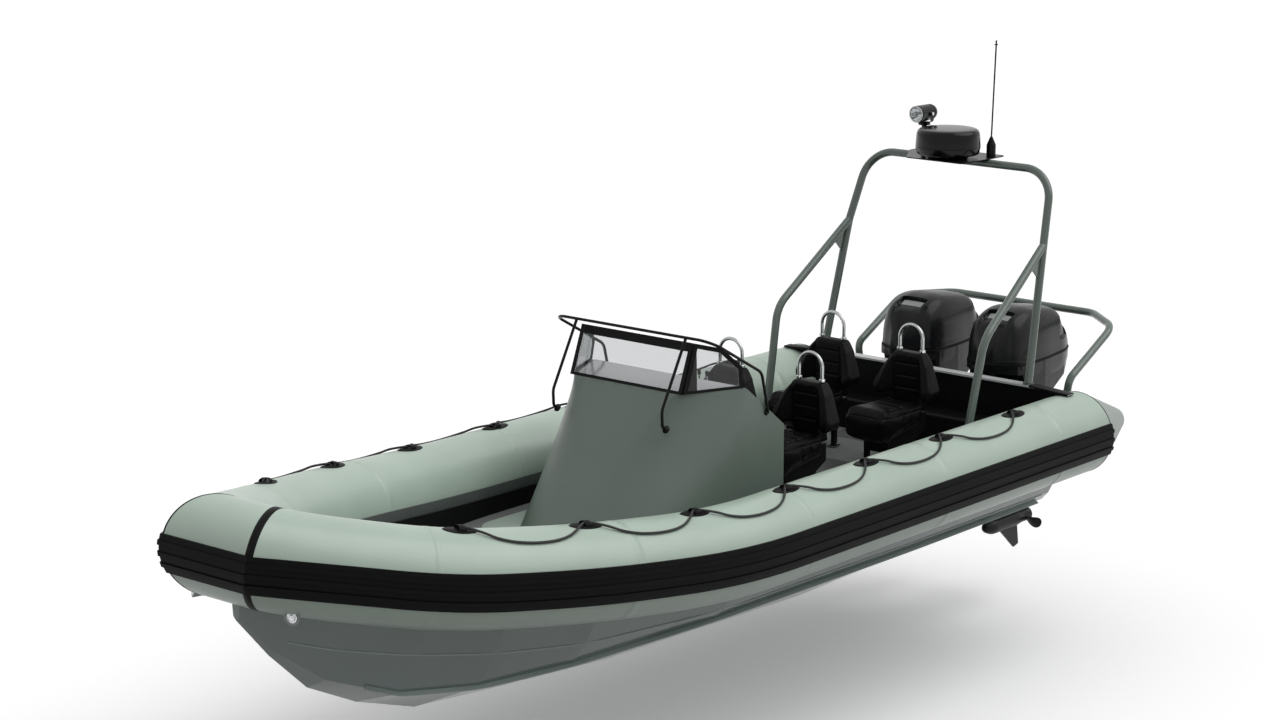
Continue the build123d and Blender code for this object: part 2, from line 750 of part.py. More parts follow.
with BuildPart() as seat_hoops:
    for x, y in seat_places:
        half = hoop_width / 2 - hoop_tube_radius
        top = hoop_top_z - hoop_tube_radius
        with BuildLine() as hoop_line:
            FilletPolyline((x, y - half, back_top_z + FACE_GAP), (x, y - half, top), (x, y + half, top),
                           (x, y + half, back_top_z + FACE_GAP), radius=half - 2)
        with BuildSketch(Plane(origin=hoop_line.line @ 0, z_dir=hoop_line.line % 0)):
            Circle(hoop_tube_radius)
        sweep(path=hoop_line.line)
seat_hoops.part.label = "seat_hoops"

# ---------------------------------------------------------------- console
with BuildPart() as console_plinth:
    with BuildSketch(Plane.XY.offset(deck_top_z)):
        with Locations(((console_front_x + console_aft_x) / 2, 0)):
            RectangleRounded(console_front_x - console_aft_x + 2 * plinth_margin,
                             2 * (console_half_width + plinth_margin), plinth_corner)
    extrude(amount=console_foot_z - deck_top_z)
    chamfer(console_plinth.faces().sort_by(Axis.Z)[-1].edges(), 8)
console_plinth.part.label = "console_plinth"

# the console is drawn as its port half and mirrored
foot_corner = Vector(console_corner_x, console_half_width, console_foot_z)
crest_corner = Vector(console_crest_x, console_crest_half_width, console_top_z)
brow_corner = Vector(console_brow_x, console_half_width, console_top_z)
corner_normal = (brow_corner - foot_corner).cross(crest_corner - foot_corner)
corner_plane = Plane(origin=foot_corner, z_dir=corner_normal)

with BuildPart() as console_half:
    with BuildSketch(Plane.XZ):
        with BuildLine():
            Polyline((console_front_x, console_foot_z), (console_crest_x, console_top_z),
                     (console_brow_x, console_top_z), (console_aft_x, console_aft_top_z),
                     (console_aft_x, console_foot_z), (console_front_x, console_foot_z))
        make_face()
    extrude(amount=-console_half_width)
    split(bisect_by=corner_plane, keep=Keep.BOTTOM)
    corner_face = console_half.faces().sort_by(lambda f: f.normal_at().dot(corner_normal.normalized()))[-1]
    upright = corner_face.edges().filter_by(lambda e: abs((e % 0.5).Z) > 0.3)
    fillet(upright, console_corner_fillet)

with BuildPart() as console:
    add(console_half.part)
    mirror(console_half.part, about=Plane.XZ)
console.part.label = "console"

# ---------------------------------------------------------------- windscreen
screen_foot_z = console_top_z + FACE_GAP
lean = Vector(-screen_lean, 0, screen_rise)
pane_foot = Vector(console_crest_x - screen_inset, console_crest_half_width - screen_inset, screen_foot_z)
pane_tail = Vector(console_brow_x + screen_inset, console_half_width - screen_inset, screen_foot_z)
side_run = pane_tail - pane_foot
front_plane = Plane(origin=(pane_foot.X, 0, pane_foot.Z), x_dir=(0, 1, 0), z_dir=Vector(0, 1, 0).cross(lean))
side_plane = Plane(origin=pane_foot, x_dir=side_run, z_dir=side_run.cross(lean))
lean_along = lean.dot(side_run.normalized())
lean_up = sqrt(lean.length ** 2 - lean_along ** 2)
front_outline = [(-pane_foot.Y, -screen_sink), (pane_foot.Y, -screen_sink), (pane_foot.Y, lean.length),
                 (-pane_foot.Y, lean.length), (-pane_foot.Y, -screen_sink)]
front_light = [(y, min(up, lean.length - frame_brow)) for y, up in front_outline]
side_outline = [(0, -screen_sink), (side_run.length, -screen_sink), (side_run.length, screen_aft_rise),
                (side_run.length * screen_knee_share, screen_knee_rise), (lean_along, lean_up), (0, -screen_sink)]


def inset(outline, distance):
    """A closed outline moved inwards; it runs anticlockwise."""
    return parallel(outline[-2:-1] + outline + outline[1:2], distance)[1:-1]


with BuildPart() as frame_half:
    for plane, outline, light in ((front_plane, front_outline, front_light), (side_plane, side_outline, side_outline)):
        with BuildSketch(plane):
            with BuildLine():
                Polyline(*outline)
            make_face()
            with BuildLine():
                Polyline(*inset(light, frame_section))
            make_face(mode=Mode.SUBTRACT)
        extrude(amount=frame_thickness / 2, both=True)

with BuildPart() as screen_frame:
    add(frame_half.part)
    mirror(frame_half.part, about=Plane.XZ)
    split(bisect_by=Plane.XY.offset(screen_foot_z), keep=Keep.TOP)
screen_frame.part.label = "screen_frame"

with BuildPart() as glass_half:
    for plane, light in ((front_plane, front_light), (side_plane, side_outline)):
        with BuildSketch(plane):
            with BuildLine():
                Polyline(*inset(light, frame_section + FACE_GAP))
            make_face()
        extrude(amount=screen_thickness / 2, both=True)

with BuildPart() as screen_glass:
    add(glass_half.part)
    mirror(glass_half.part, about=Plane.XZ)
screen_glass.part.label = "screen_glass"

# ---------------------------------------------------------------- rail round the screen
rail_y = console_half_width + rail_side_gap
rail_route = [(rail_anchor_x, rail_y, rail_anchor_z), (rail_bend_x, rail_y, rail_bend_z),
              (rail_front_x, rail_y, rail_top_z)]
rail_route = rail_route + [(x, -y, z) for x, y, z in reversed(rail_route)]
front_run = Vector(console_front_x - console_crest_x, 0, console_foot_z - console_top_z)
front_normal = Vector(-front_run.Z, 0, front_run.X).normalized()
leg_foot = Vector(console_crest_x, rail_leg_y, console_top_z) + front_run * (
    (console_top_z - rail_leg_z) / (console_top_z - console_foot_z))


def swept_tube(points, bends, radius):
    """A round bar along straight runs joined by arcs."""
    with BuildPart() as bar:
        with BuildLine() as route:
            FilletPolyline(*points, radius=bends)
        with BuildSketch(Plane(origin=route.line @ 0, z_dir=route.line % 0)):
            Circle(radius)
        sweep(path=route.line)
    return bar.part


with BuildPart() as screen_rail:
    add(swept_tube(rail_route, [rail_bend_radius, rail_corner_radius, rail_corner_radius, rail_bend_radius], rail_radius))
    for side in (1, -1):
        foot = Vector(leg_foot.X, side * leg_foot.Y, leg_foot.Z)
        knee = foot + front_normal * rail_leg_reach
        leg_points = [tuple(foot + front_normal * rail_boss_thickness / 2), tuple(knee),
                      (foot.X + rail_knee_forward, foot.Y, foot.Z + rail_knee_rise),
                      (rail_front_x, side * rail_leg_y, rail_top_z - rail_radius / 2)]
        add(swept_tube(leg_points, [28, 90], rail_radius))
        with BuildSketch(Plane(origin=foot + front_normal * FACE_GAP, z_dir=front_normal)):
            Circle(rail_boss_radius)
        extrude(amount=rail_boss_thickness)
        with BuildSketch(Plane(origin=(rail_anchor_x, side * (console_half_width + FACE_GAP), rail_anchor_z),
                               z_dir=(0, side, 0))):
            Circle(rail_boss_radius)
        extrude(amount=rail_side_gap - FACE_GAP)
screen_rail.part.label = "screen_rail"

# ---------------------------------------------------------------- helm
dash_run = Vector(console_aft_x - console_brow_x, 0, console_aft_top_z - console_top_z)
dash_normal = Vector(dash_run.Z, 0, -dash_run.X).normalized()
helm_z = console_top_z + (helm_x - console_brow_x) / dash_run.X * dash_run.Z
helm_plane = Plane(origin=(helm_x, helm_y, helm_z), x_dir=(0, 1, 0), z_dir=dash_normal)
hub_bottom = wheel_standoff - wheel_hub_length

with BuildPart() as helm_column:
    with BuildSketch(helm_plane.offset(FACE_GAP)):
        Circle(column_radius)
    extrude(amount=hub_bottom - bearing_gap - FACE_GAP, taper=6)
helm_column.part.label = "helm_column"

with BuildPart() as steering_wheel:
    rim_point = helm_plane.origin + helm_plane.z_dir * wheel_standoff + helm_plane.x_dir * wheel_radius
    with BuildSketch(Plane(origin=rim_point, x_dir=helm_plane.x_dir,
                           z_dir=helm_plane.x_dir.cross(helm_plane.z_dir))):
        Circle(wheel_rim_radius)
    revolve(axis=Axis(helm_plane.origin, helm_plane.z_dir))
    with BuildSketch(helm_plane.offset(hub_bottom)):
        Circle(wheel_hub_radius)
    extrude(amount=wheel_hub_length + spoke_thickness)
    with BuildSketch(helm_plane.offset(wheel_standoff - spoke_thickness / 2)):
        for turn in (90, 210, 330):
            with Locations(Location((wheel_radius / 2 * cos(radians(turn)), wheel_radius / 2 * sin(radians(turn))), turn)):
                Rectangle(wheel_radius, spoke_width)
    extrude(amount=spoke_thickness)
steering_wheel.part.label = "steering_wheel"

throttle_plane = Plane(origin=(helm_x, 0, helm_z), x_dir=(0, 1, 0), z_dir=dash_normal)
with BuildPart() as throttle:
    with BuildSketch(throttle_plane.offset(FACE_GAP)):
        RectangleRounded(throttle_width, throttle_length, 20)
    extrude(amount=throttle_height, taper=8)
    with BuildSketch(throttle_plane.offset(throttle_height / 2)):
        with GridLocations(lever_spacing, 1, 2, 1):
            RectangleRounded(14, 30, 5)
    extrude(amount=throttle_height / 2 + lever_height)
    with BuildSketch(throttle_plane.offset(throttle_height + lever_height - 20)):
        with GridLocations(lever_spacing, 1, 2, 1):
            RectangleRounded(44, 32, 12)
    extrude(amount=26)
throttle.part.label = "throttle"


# ---------------------------------------------------------------- lifelines
def tube_frame(x):
    """The port axis where it passes x: the point, the outboard direction and the direction up the section."""
    low = 0.0
    high = 1.0
    for _ in range(40):
        middle = (low + high) / 2
        if (tube_axis.line @ middle).X < x:
            low = middle
        else:
            high = middle
    along = tube_axis.line % low
    outboard = Vector(-along.Y, along.X, 0).normalized()
    return tube_axis.line @ low, along, outboard, along.cross(outboard)


def on_tube(x, angle, radius):
    """A point on the port tube: angle in degrees from outboard towards the top."""
    centre, along, outboard, up = tube_frame(x)
    return centre + outboard * (radius * cos(radians(angle))) + up * (radius * sin(radians(angle)))


# a scallop of rope: share of the way from one patch to the next, and whether it lies on the patch
rope_steps = [(0.0, 1), (0.03, 1), (0.06, 1), (0.1, 1), (0.145, 1), (0.2, 0), (0.27, 0), (0.36, 0),
              (0.5, 0), (0.64, 0), (0.73, 0), (0.8, 0), (0.855, 1), (0.9, 1), (0.94, 1), (0.97, 1)]
rope_low = tube_radius + rope_radius + rope_rise
rope_high = tube_radius + SEAT_GAP + patch_thickness + rope_radius + rope_rise
rope_points = []
for start, end in zip(patch_stations, patch_stations[1:]):
    for share, on_patch in rope_steps:
        reach = 1 - abs(2 * share - 1)
        reach = sqrt(reach ** 2 + rope_crest ** 2) - rope_crest
        angle = scallop_angle + (patch_angle - scallop_angle) * (1 - reach) ** scallop_power
        height = rope_high if on_patch else rope_low
        rope_points.append(on_tube(start + (end - start) * share, angle, height))
rope_points.append(on_tube(patch_stations[-1], patch_angle, rope_high))
rope_points = [tuple(point) for point in rope_points]
rope_bends = bend_radii(rope_points)

with BuildPart() as lifeline_port:
    add(swept_tube(rope_points, rope_bends, rope_radius))
lifeline_port.part.label = "lifeline_port"

with BuildPart() as lifeline_starboard:
    mirror(lifeline_port.part, about=Plane.XZ)
lifeline_starboard.part.label = "lifeline_starboard"

rope_channel = swept_tube(rope_points, rope_bends, rope_radius + SEAT_GAP)
patch_shell = side_tube(tube_radius + SEAT_GAP + patch_thickness)
loop_shell = side_tube(tube_radius + SEAT_GAP + loop_height)

with BuildPart() as patches_port:
    for length, width, shell in ((patch_length, patch_width, patch_shell), (loop_length, loop_width, loop_shell)):
        with BuildPart(mode=Mode.PRIVATE) as pads:
            for x in patch_stations:
                centre, along, outboard, up = tube_frame(x)
                top = on_tube(x, patch_angle, tube_radius)
                with BuildSketch(Plane(origin=top - up * patch_width / 2, x_dir=along, z_dir=up)):
                    Ellipse(length / 2, width / 2)
                extrude(amount=patch_width)
        add(pads.part & shell)
    add(port_seat, mode=Mode.SUBTRACT)
    add(rope_channel, mode=Mode.SUBTRACT)

with BuildPart() as lifeline_patches:
    add(patches_port.part)
    mirror(patches_port.part, about=Plane.XZ)
lifeline_patches.part.label = "lifeline_patches"

with BuildPart() as valves:
    valve_seat = on_tube(valve_x, valve_angle, tube_radius + SEAT_GAP)
    centre, along, outboard, up = tube_frame(valve_x)
    for side in (1, -1):
        direction = valve_seat - centre
        with BuildSketch(Plane(origin=(valve_seat.X, side * valve_seat.Y, valve_seat.Z),
                               z_dir=(direction.X, side * direction.Y, direction.Z))):
            Circle(valve_radius)
        extrude(amount=valve_height)
valves.part.label = "valves"

# ---------------------------------------------------------------- arch
cap_top_z = bulkhead_top_z + cap_thickness
cap_middle_x = bulkhead_x + bulkhead_thickness / 2
arch_foot = (cap_middle_x, arch_foot_y, cap_top_z + flange_thickness * 0.7)
arch_route = [arch_foot, arch_knee, arch_shoulder]
arch_route = arch_route + [(x, -y, z) for x, y, z in reversed(arch_route)]
arch_bends = [arch_bend] * 4

with BuildPart() as arch_hoop:
    add(swept_tube(arch_route, arch_bends, arch_radius))
    with Locations([(cap_middle_x, side * arch_foot_y, cap_top_z + FACE_GAP) for side in (1, -1)]):
        Cylinder(flange_radius, flange_thickness, align=(Align.CENTER, Align.CENTER, Align.MIN))
arch_hoop.part.label = "arch_hoop"

hoop_seat = swept_tube(arch_route, arch_bends, arch_radius + SEAT_GAP)
knee = Vector(*arch_knee)
toward_foot = (Vector(*arch_foot) - knee).normalized()
toward_bend = (Vector(*brace_bend_point) - knee).normalized()
gusset_normal = toward_foot.cross(toward_bend)

with BuildPart() as arch_brace_port:
    add(swept_tube([arch_knee, brace_bend_point, (brace_foot_x, brace_foot_y, deck_top_z + flange_thickness * 0.8)],
                   [brace_bend], arch_radius))
    with Locations((brace_foot_x, brace_foot_y, deck_top_z + FACE_GAP)):
        Cylinder(flange_radius, flange_thickness, align=(Align.CENTER, Align.CENTER, Align.MIN))
    with BuildSketch(Plane(origin=knee, x_dir=toward_bend, z_dir=gusset_normal)):
        with BuildLine():
            hoop_end = toward_foot * gusset_reach_hoop
            across = gusset_normal.normalized().cross(toward_bend)
            Polyline((0, 0), (gusset_reach_brace, 0), (hoop_end.dot(toward_bend), hoop_end.dot(across)), (0, 0))
        make_face()
    extrude(amount=gusset_thickness / 2, both=True)
    add(hoop_seat, mode=Mode.SUBTRACT)
arch_brace_port.part.label = "arch_brace_port"

with BuildPart() as arch_brace_starboard:
    mirror(arch_brace_port.part, about=Plane.XZ)
arch_brace_starboard.part.label = "arch_brace_starboard"

# ---------------------------------------------------------------- gear on the arch
plate_z = arch_shoulder[2] + arch_radius + SEAT_GAP
plate_top_z = plate_z + plate_thickness

with BuildPart() as arch_plate:
    with BuildSketch(Plane.XY.offset(plate_z)):
        with BuildLine():
            Polyline((plate_aft_x, plate_starboard_y), (plate_step_x, plate_starboard_y),
                     (plate_front_x, -plate_front_half), (plate_front_x, plate_front_half),
                     (plate_step_x, plate_port_y), (plate_aft_x, plate_port_y), (plate_aft_x, plate_starboard_y))
        make_face()
    extrude(amount=plate_thickness)
    fillet(arch_plate.edges().filter_by(Axis.Z), 30)
arch_plate.part.label = "arch_plate"

with BuildPart() as radome:
    with BuildSketch(Plane(origin=(radome_x, 0, 0), x_dir=(1, 0, 0), z_dir=(0, -1, 0))):
        with BuildLine():
            foot_z = plate_top_z + FACE_GAP
            dome_z = foot_z + radome_foot_height
            Polyline((0, foot_z), (radome_foot_radius, foot_z), (radome_foot_radius, dome_z),
                     (radome_radius - 20, dome_z), (radome_radius, dome_z + radome_height * 0.3),
                     (radome_radius - 8, dome_z + radome_height), (0, dome_z + radome_height), (0, foot_z))
        make_face()
    revolve(axis=Axis((radome_x, 0, 0), (0, 0, 1)))
    fillet(radome.edges().group_by(Axis.Z)[-1], radome_edge)
radome.part.label = "radome"

with BuildPart() as light_post:
    with Locations((light_x, light_y, plate_top_z + FACE_GAP)):
        Cylinder(light_base_radius, light_base_thickness, align=(Align.CENTER, Align.CENTER, Align.MIN))
        Cylinder(light_post_radius, light_base_z - plate_top_z - FACE_GAP, align=(Align.CENTER, Align.CENTER, Align.MIN))
    with Locations((light_x, light_y, light_base_z)):
        Cylinder(light_base_radius, light_base_thickness, align=(Align.CENTER, Align.CENTER, Align.MIN))
light_post.part.label = "light_post"

with BuildPart() as searchlight:
    turntable_z = light_base_z + light_base_thickness + bearing_gap
    cheek_y = lamp_radius + lamp_cheek_gap
    with Locations((light_x, light_y, turntable_z)):
        Cylinder(light_base_radius - 6, lamp_z - lamp_radius - turntable_z + 4,
                 align=(Align.CENTER, Align.CENTER, Align.MIN))
        Box(2 * lamp_cheek_half, 2 * (cheek_y + lamp_cheek_thickness), lamp_cheek_thickness,
            align=(Align.CENTER, Align.CENTER, Align.MIN))
    for side in (1, -1):
        with BuildSketch(Plane(origin=(light_x, light_y + side * cheek_y, 0), x_dir=(1, 0, 0), z_dir=(0, -1, 0))):
            with Locations((0, (turntable_z + lamp_z) / 2)):
                Rectangle(2 * lamp_cheek_half, lamp_z - turntable_z)
            with Locations((0, lamp_z)):
                Circle(lamp_cheek_half)
        extrude(amount=-side * lamp_cheek_thickness)
    with Locations((light_x, light_y, lamp_z)):
        Cylinder(lamp_radius, lamp_length, rotation=(0, 90, 0))
        Cylinder(lamp_cheek_half / 2, 2 * (cheek_y + lamp_cheek_thickness + 6), rotation=(90, 0, 0))
    chamfer(searchlight.faces().sort_by(Axis.X)[0].edges(), lamp_radius * 0.4)
searchlight.part.label = "searchlight"

with BuildPart() as antenna:
    antenna_foot_z = plate_top_z + FACE_GAP
    cone_z = antenna_foot_z + antenna_base_height
    whip_z = cone_z + antenna_cone_height
    with Locations((antenna_x, antenna_y, antenna_foot_z)):
        Cylinder(antenna_base_radius, antenna_base_height, align=(Align.CENTER, Align.CENTER, Align.MIN))
    with Locations((antenna_x, antenna_y, cone_z)):
        Cone(antenna_base_radius, whip_radius * 1.6, antenna_cone_height, align=(Align.CENTER, Align.CENTER, Align.MIN))
    whip = Vector(0, whip_lean, whip_length)
    whip_plane = Plane(origin=(antenna_x, antenna_y, whip_z - 4), z_dir=whip)
    with BuildSketch(whip_plane):
        Circle(whip_radius)
    extrude(amount=whip.length)
    with BuildSketch(whip_plane.offset(whip.length - whip_disc_drop)):
        Circle(whip_disc_radius)
    extrude(amount=whip_radius)
antenna.part.label = "antenna"

# ---------------------------------------------------------------- guard rail astern
transom_aft_x = hull_stern_x - FACE_GAP - transom_thickness
guard_half = [(transom_aft_x - FACE_GAP - flange_thickness / 2, guard_foot_y, guard_foot_z),
              (guard_foot_x, guard_foot_y, guard_foot_z), (guard_foot_x, guard_side_y, guard_knee_z),
              (guard_corner_x, guard_side_y, guard_corner_z), (guard_aft_x, guard_aft_y, guard_aft_z)]
guard_route = guard_half + [(x, -y, z) for x, y, z in reversed(guard_half)]
guard_bends = [guard_bend, guard_bend, guard_corner_bend, guard_corner_bend]
guard_bends = guard_bends + guard_bends[::-1]

with BuildPart() as guard_rail:
    add(swept_tube(guard_route, guard_bends, guard_radius))
    for side in (1, -1):
        with BuildSketch(Plane(origin=(transom_aft_x - FACE_GAP, side * guard_foot_y, guard_foot_z), z_dir=(-1, 0, 0))):
            Circle(guard_radius + guard_flange_lip)
        extrude(amount=flange_thickness)
guard_rail.part.label = "guard_rail"

# ---------------------------------------------------------------- engines, drawn on the centreline and moved out
clamp_inner_y = clamp_y - clamp_thickness / 2
transom_front_x = hull_stern_x - FACE_GAP

with BuildPart() as clamp_shape:
    clamp_back_x = transom_aft_x - FACE_GAP
    clamp_front_x = transom_front_x + FACE_GAP
    clamp_seat_z = transom_top_z + FACE_GAP
    for side in (1, -1):
        with BuildSketch(Plane(origin=(0, side * clamp_y, 0), x_dir=(1, 0, 0), z_dir=(0, -1, 0))):
            with BuildLine():
                Polyline((clamp_back_x - clamp_reach, clamp_bottom_z), (clamp_back_x, clamp_bottom_z),
                         (clamp_back_x, clamp_seat_z), (clamp_front_x, clamp_seat_z),
                         (clamp_front_x, clamp_seat_z - clamp_hook_depth),
                         (clamp_front_x + clamp_hook_width, clamp_seat_z - clamp_hook_depth),
                         (clamp_front_x + clamp_hook_width, clamp_seat_z + clamp_hook_width),
                         (tilt_axis_x, tilt_axis_z), (clamp_back_x - clamp_reach, clamp_seat_z - 30),
                         (clamp_back_x - clamp_reach, clamp_bottom_z))
            make_face()
            with Locations((tilt_axis_x, tilt_axis_z)):
                Circle(tilt_boss_radius)
        extrude(amount=clamp_thickness / 2, both=True)
    with Locations((clamp_back_x - clamp_tie_thickness / 2, 0, (clamp_bottom_z + clamp_seat_z) / 2 - 90)):
        Box(clamp_tie_thickness, 2 * clamp_y, clamp_tie_height)
    with Locations((tilt_axis_x, 0, tilt_axis_z)):
        Cylinder(tilt_pin_radius, 2 * clamp_y + clamp_thickness + 24, rotation=(90, 0, 0))

with BuildPart() as swivel_shape:
    hub_half = clamp_inner_y - SIDE_GAP
    with Locations((tilt_axis_x, 0, tilt_axis_z)):
        Cylinder(tilt_boss_radius, 2 * hub_half, rotation=(90, 0, 0))
    with BuildSketch(Plane.XZ):
        with BuildLine():
            Polyline((steer_axis_x, swivel_arm_bottom_z), (clamp_back_x - SWING_GAP, swivel_arm_bottom_z + 40),
                     (clamp_back_x - SWING_GAP, transom_top_z + SWING_GAP),
                     (tilt_axis_x, tilt_axis_z - tilt_boss_radius + 2), (tilt_axis_x, tilt_axis_z),
                     (tilt_axis_x - tilt_boss_radius, tilt_axis_z), (clamp_back_x - 2 * SWING_GAP, barrel_top_z - SIDE_GAP),
                     (steer_axis_x, barrel_top_z - SIDE_GAP), (steer_axis_x, swivel_arm_bottom_z))
        make_face()
    extrude(amount=swivel_arm_half_width, both=True)
    with Locations((steer_axis_x, 0, barrel_bottom_z)):
        Cylinder(barrel_radius, barrel_top_z - barrel_bottom_z, align=(Align.CENTER, Align.CENTER, Align.MIN))
        Cylinder(steer_pin_radius + bearing_gap, barrel_top_z - barrel_bottom_z,
                 align=(Align.CENTER, Align.CENTER, Align.MIN), mode=Mode.SUBTRACT)
    with Locations((tilt_axis_x, 0, tilt_axis_z)):
        Cylinder(tilt_pin_radius + bearing_gap, 2 * hub_half, rotation=(90, 0, 0), mode=Mode.SUBTRACT)


def side_prism(profile):
    """An outline seen from the side, as wide as the cowl."""
    with BuildPart() as prism:
        with BuildSketch(Plane.XZ):
            with BuildLine():
                Polyline(*profile, profile[0])
            make_face()
        extrude(amount=cowl_plan_reach, both=True)
    return prism.part


with BuildPart() as plan_prism:
    with BuildSketch(Plane.XY.offset(prop_axis_z)):
        with BuildLine():
            Polyline(*cowl_plan, cowl_plan[0])
        make_face()
        mirror(about=Plane.XZ)
    extrude(amount=cowl_plan_reach * 8)

with BuildPart() as section_prism:
    with BuildSketch(Plane.YZ.offset(tilt_axis_x)):
        with BuildLine():
            Polyline(*cowl_section, cowl_section[0])
        make_face()
        mirror(about=Plane.YZ)
    extrude(amount=-cowl_plan_reach * 6)

with BuildPart() as cowl_shape:
    add(side_prism(cowl_profile))
    add(plan_prism.part, mode=Mode.INTERSECT)
    add(section_prism.part, mode=Mode.INTERSECT)

with BuildPart() as leg_shape:
    add(side_prism(pan_profile))
    add(plan_prism.part, mode=Mode.INTERSECT)
    with BuildPart(mode=Mode.PRIVATE) as pan_top:
        with Locations((0, 0, cowl_split_z - FACE_GAP)):
            Box(20000, 2000, 400, align=(Align.CENTER, Align.CENTER, Align.MIN))
    add(pan_top.part, mode=Mode.SUBTRACT)
    with BuildPart(mode=Mode.PRIVATE) as casing:
        for z, front, back, half in leg_sections:
            with BuildSketch(Plane.XY.offset(z)):
                with Locations(((front + back) / 2, 0)):
                    RectangleRounded(front - back, 2 * half, half * 0.8)
        loft(ruled=True)
    add(casing.part)
    with Locations((steer_axis_x, 0, barrel_top_z + bearing_gap)):
        Cylinder(yoke_radius, pan_profile[1][1] - barrel_top_z + 6, align=(Align.CENTER, Align.CENTER, Align.MIN))
    with Locations((steer_axis_x, 0, barrel_bottom_z - bearing_gap)):
        Cylinder(yoke_radius, yoke_height, align=(Align.CENTER, Align.CENTER, Align.MAX))
        Box(steer_axis_x - leg_sections[1][1] + 60, 2 * yoke_radius, yoke_height,
            align=(Align.MAX, Align.CENTER, Align.MAX))
        Cylinder(steer_pin_radius, barrel_top_z - barrel_bottom_z + 2 * bearing_gap,
                 align=(Align.CENTER, Align.CENTER, Align.MIN))
    with BuildSketch(Plane.XY.offset(fin_z - fin_thickness / 2)):
        with BuildLine():
            Polyline(*fin_plan, fin_plan[0])
        make_face()
        mirror(about=Plane.XZ)
    extrude(amount=fin_thickness)
    with BuildSketch(Plane.XY.offset(prop_axis_z)):
        with Locations(((strut_front_x + strut_back_x) / 2, 0)):
            Ellipse((strut_front_x - strut_back_x) / 2, strut_half_width)
    extrude(amount=fin_z - prop_axis_z)
    with BuildSketch(Plane(origin=(0, 0, prop_axis_z), x_dir=(1, 0, 0), z_dir=(0, -1, 0))):
        with BuildLine():
            Polyline((gearcase_tail_x, 0), (gearcase_nose_x, 0))
            Spline((gearcase_nose_x, 0), (gearcase_nose_x - 34, gearcase_radius * 0.66),
                                   (gearcase_nose_x - 120, gearcase_radius), tangents=((0, 1), (-1, 0)))
            Polyline((gearcase_nose_x - 120, gearcase_radius), (gearcase_tail_x + 90, gearcase_radius),
                     (gearcase_tail_x, prop_hub_radius), (gearcase_tail_x, 0))
        make_face()
    revolve(axis=Axis((0, 0, prop_axis_z), (1, 0, 0)))
    with BuildSketch(Plane.XZ):
        with BuildLine():
            Polyline(*skeg_profile, skeg_profile[0])
        make_face()
    extrude(amount=skeg_half_thickness, both=True)
    with Locations((gearcase_tail_x, 0, prop_axis_z)):
        Cylinder(prop_shaft_radius, 2 * prop_hub_length * 0.8, rotation=(0, 90, 0))

with BuildPart() as prop_shape:
    hub_front_x = gearcase_tail_x - bearing_gap
    with Locations((hub_front_x, 0, prop_axis_z)):
        Cylinder(prop_hub_radius, prop_hub_length, rotation=(0, -90, 0), align=(Align.CENTER, Align.CENTER, Align.MIN))
    for turn in (0, 120, 240):
        radial = Vector(0, sin(radians(turn)), cos(radians(turn)))
        around = Vector(1, 0, 0).cross(radial)
        blade_normal = Vector(1, 0, 0) * cos(radians(prop_pitch_angle)) + around * sin(radians(prop_pitch_angle))
        blade_reach = (prop_radius - prop_hub_radius / 2) / 2
        middle = Vector(prop_plane_x, 0, prop_axis_z) + radial * (prop_radius - blade_reach)
        with BuildSketch(Plane(origin=middle, x_dir=radial, z_dir=blade_normal)):
            Ellipse(blade_reach, prop_blade_half_chord)
        extrude(amount=prop_blade_thickness / 2, both=True)
    with Locations((hub_front_x, 0, prop_axis_z)):
        Cylinder(prop_shaft_radius + bearing_gap, 2 * prop_hub_length * 0.85, rotation=(0, 90, 0), mode=Mode.SUBTRACT)

with BuildPart() as clamp_bracket_port:
    add(clamp_shape.part.moved(Location((0, engine_y, 0))))
clamp_bracket_port.part.label = "clamp_bracket_port"

with BuildPart() as clamp_bracket_starboard:
    mirror(clamp_bracket_port.part, about=Plane.XZ)
clamp_bracket_starboard.part.label = "clamp_bracket_starboard"

with BuildPart() as swivel_bracket_port:
    add(swivel_shape.part.moved(Location((0, engine_y, 0))))
swivel_bracket_port.part.label = "swivel_bracket_port"

with BuildPart() as swivel_bracket_starboard:
    mirror(swivel_bracket_port.part, about=Plane.XZ)
swivel_bracket_starboard.part.label = "swivel_bracket_starboard"

with BuildPart() as cowl_port:
    add(cowl_shape.part.moved(Location((0, engine_y, 0))))
cowl_port.part.label = "cowl_port"

with BuildPart() as cowl_starboard:
    mirror(cowl_port.part, about=Plane.XZ)
cowl_starboard.part.label = "cowl_starboard"

with BuildPart() as leg_port:
    add(leg_shape.part.moved(Location((0, engine_y, 0))))
leg_port.part.label = "leg_port"

with BuildPart() as leg_starboard:
    mirror(leg_port.part, about=Plane.XZ)
leg_starboard.part.label = "leg_starboard"

with BuildPart() as propeller_port:
    add(prop_shape.part.moved(Location((0, engine_y, 0))))
propeller_port.part.label = "propeller_port"

with BuildPart() as propeller_starboard:
    mirror(propeller_port.part, about=Plane.XZ)
propeller_starboard.part.label = "propeller_starboard"

pieces = [hull, deck, tube_port, tube_starboard, tube_bow, strake_port, strake_starboard, strake_bow, side_liners,
          inner_bands, transom, bulkhead, bulkhead_cap, stern_locker, seat_bases, seat_cushions, seat_backs,
          seat_hoops, console_plinth, console, screen_frame, screen_glass, screen_rail, helm_column, steering_wheel,
          throttle, lifeline_port, lifeline_starboard, lifeline_patches, valves, arch_hoop, arch_brace_port,
          arch_brace_starboard, arch_plate, radome, light_post, searchlight, antenna, guard_rail,
          clamp_bracket_port, clamp_bracket_starboard, swivel_bracket_port, swivel_bracket_starboard, cowl_port,
          cowl_starboard, leg_port, leg_starboard, propeller_port, propeller_starboard]
for piece in pieces:
    export_step(piece.part, f"parts/{piece.part.label}.step")
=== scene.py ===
import math

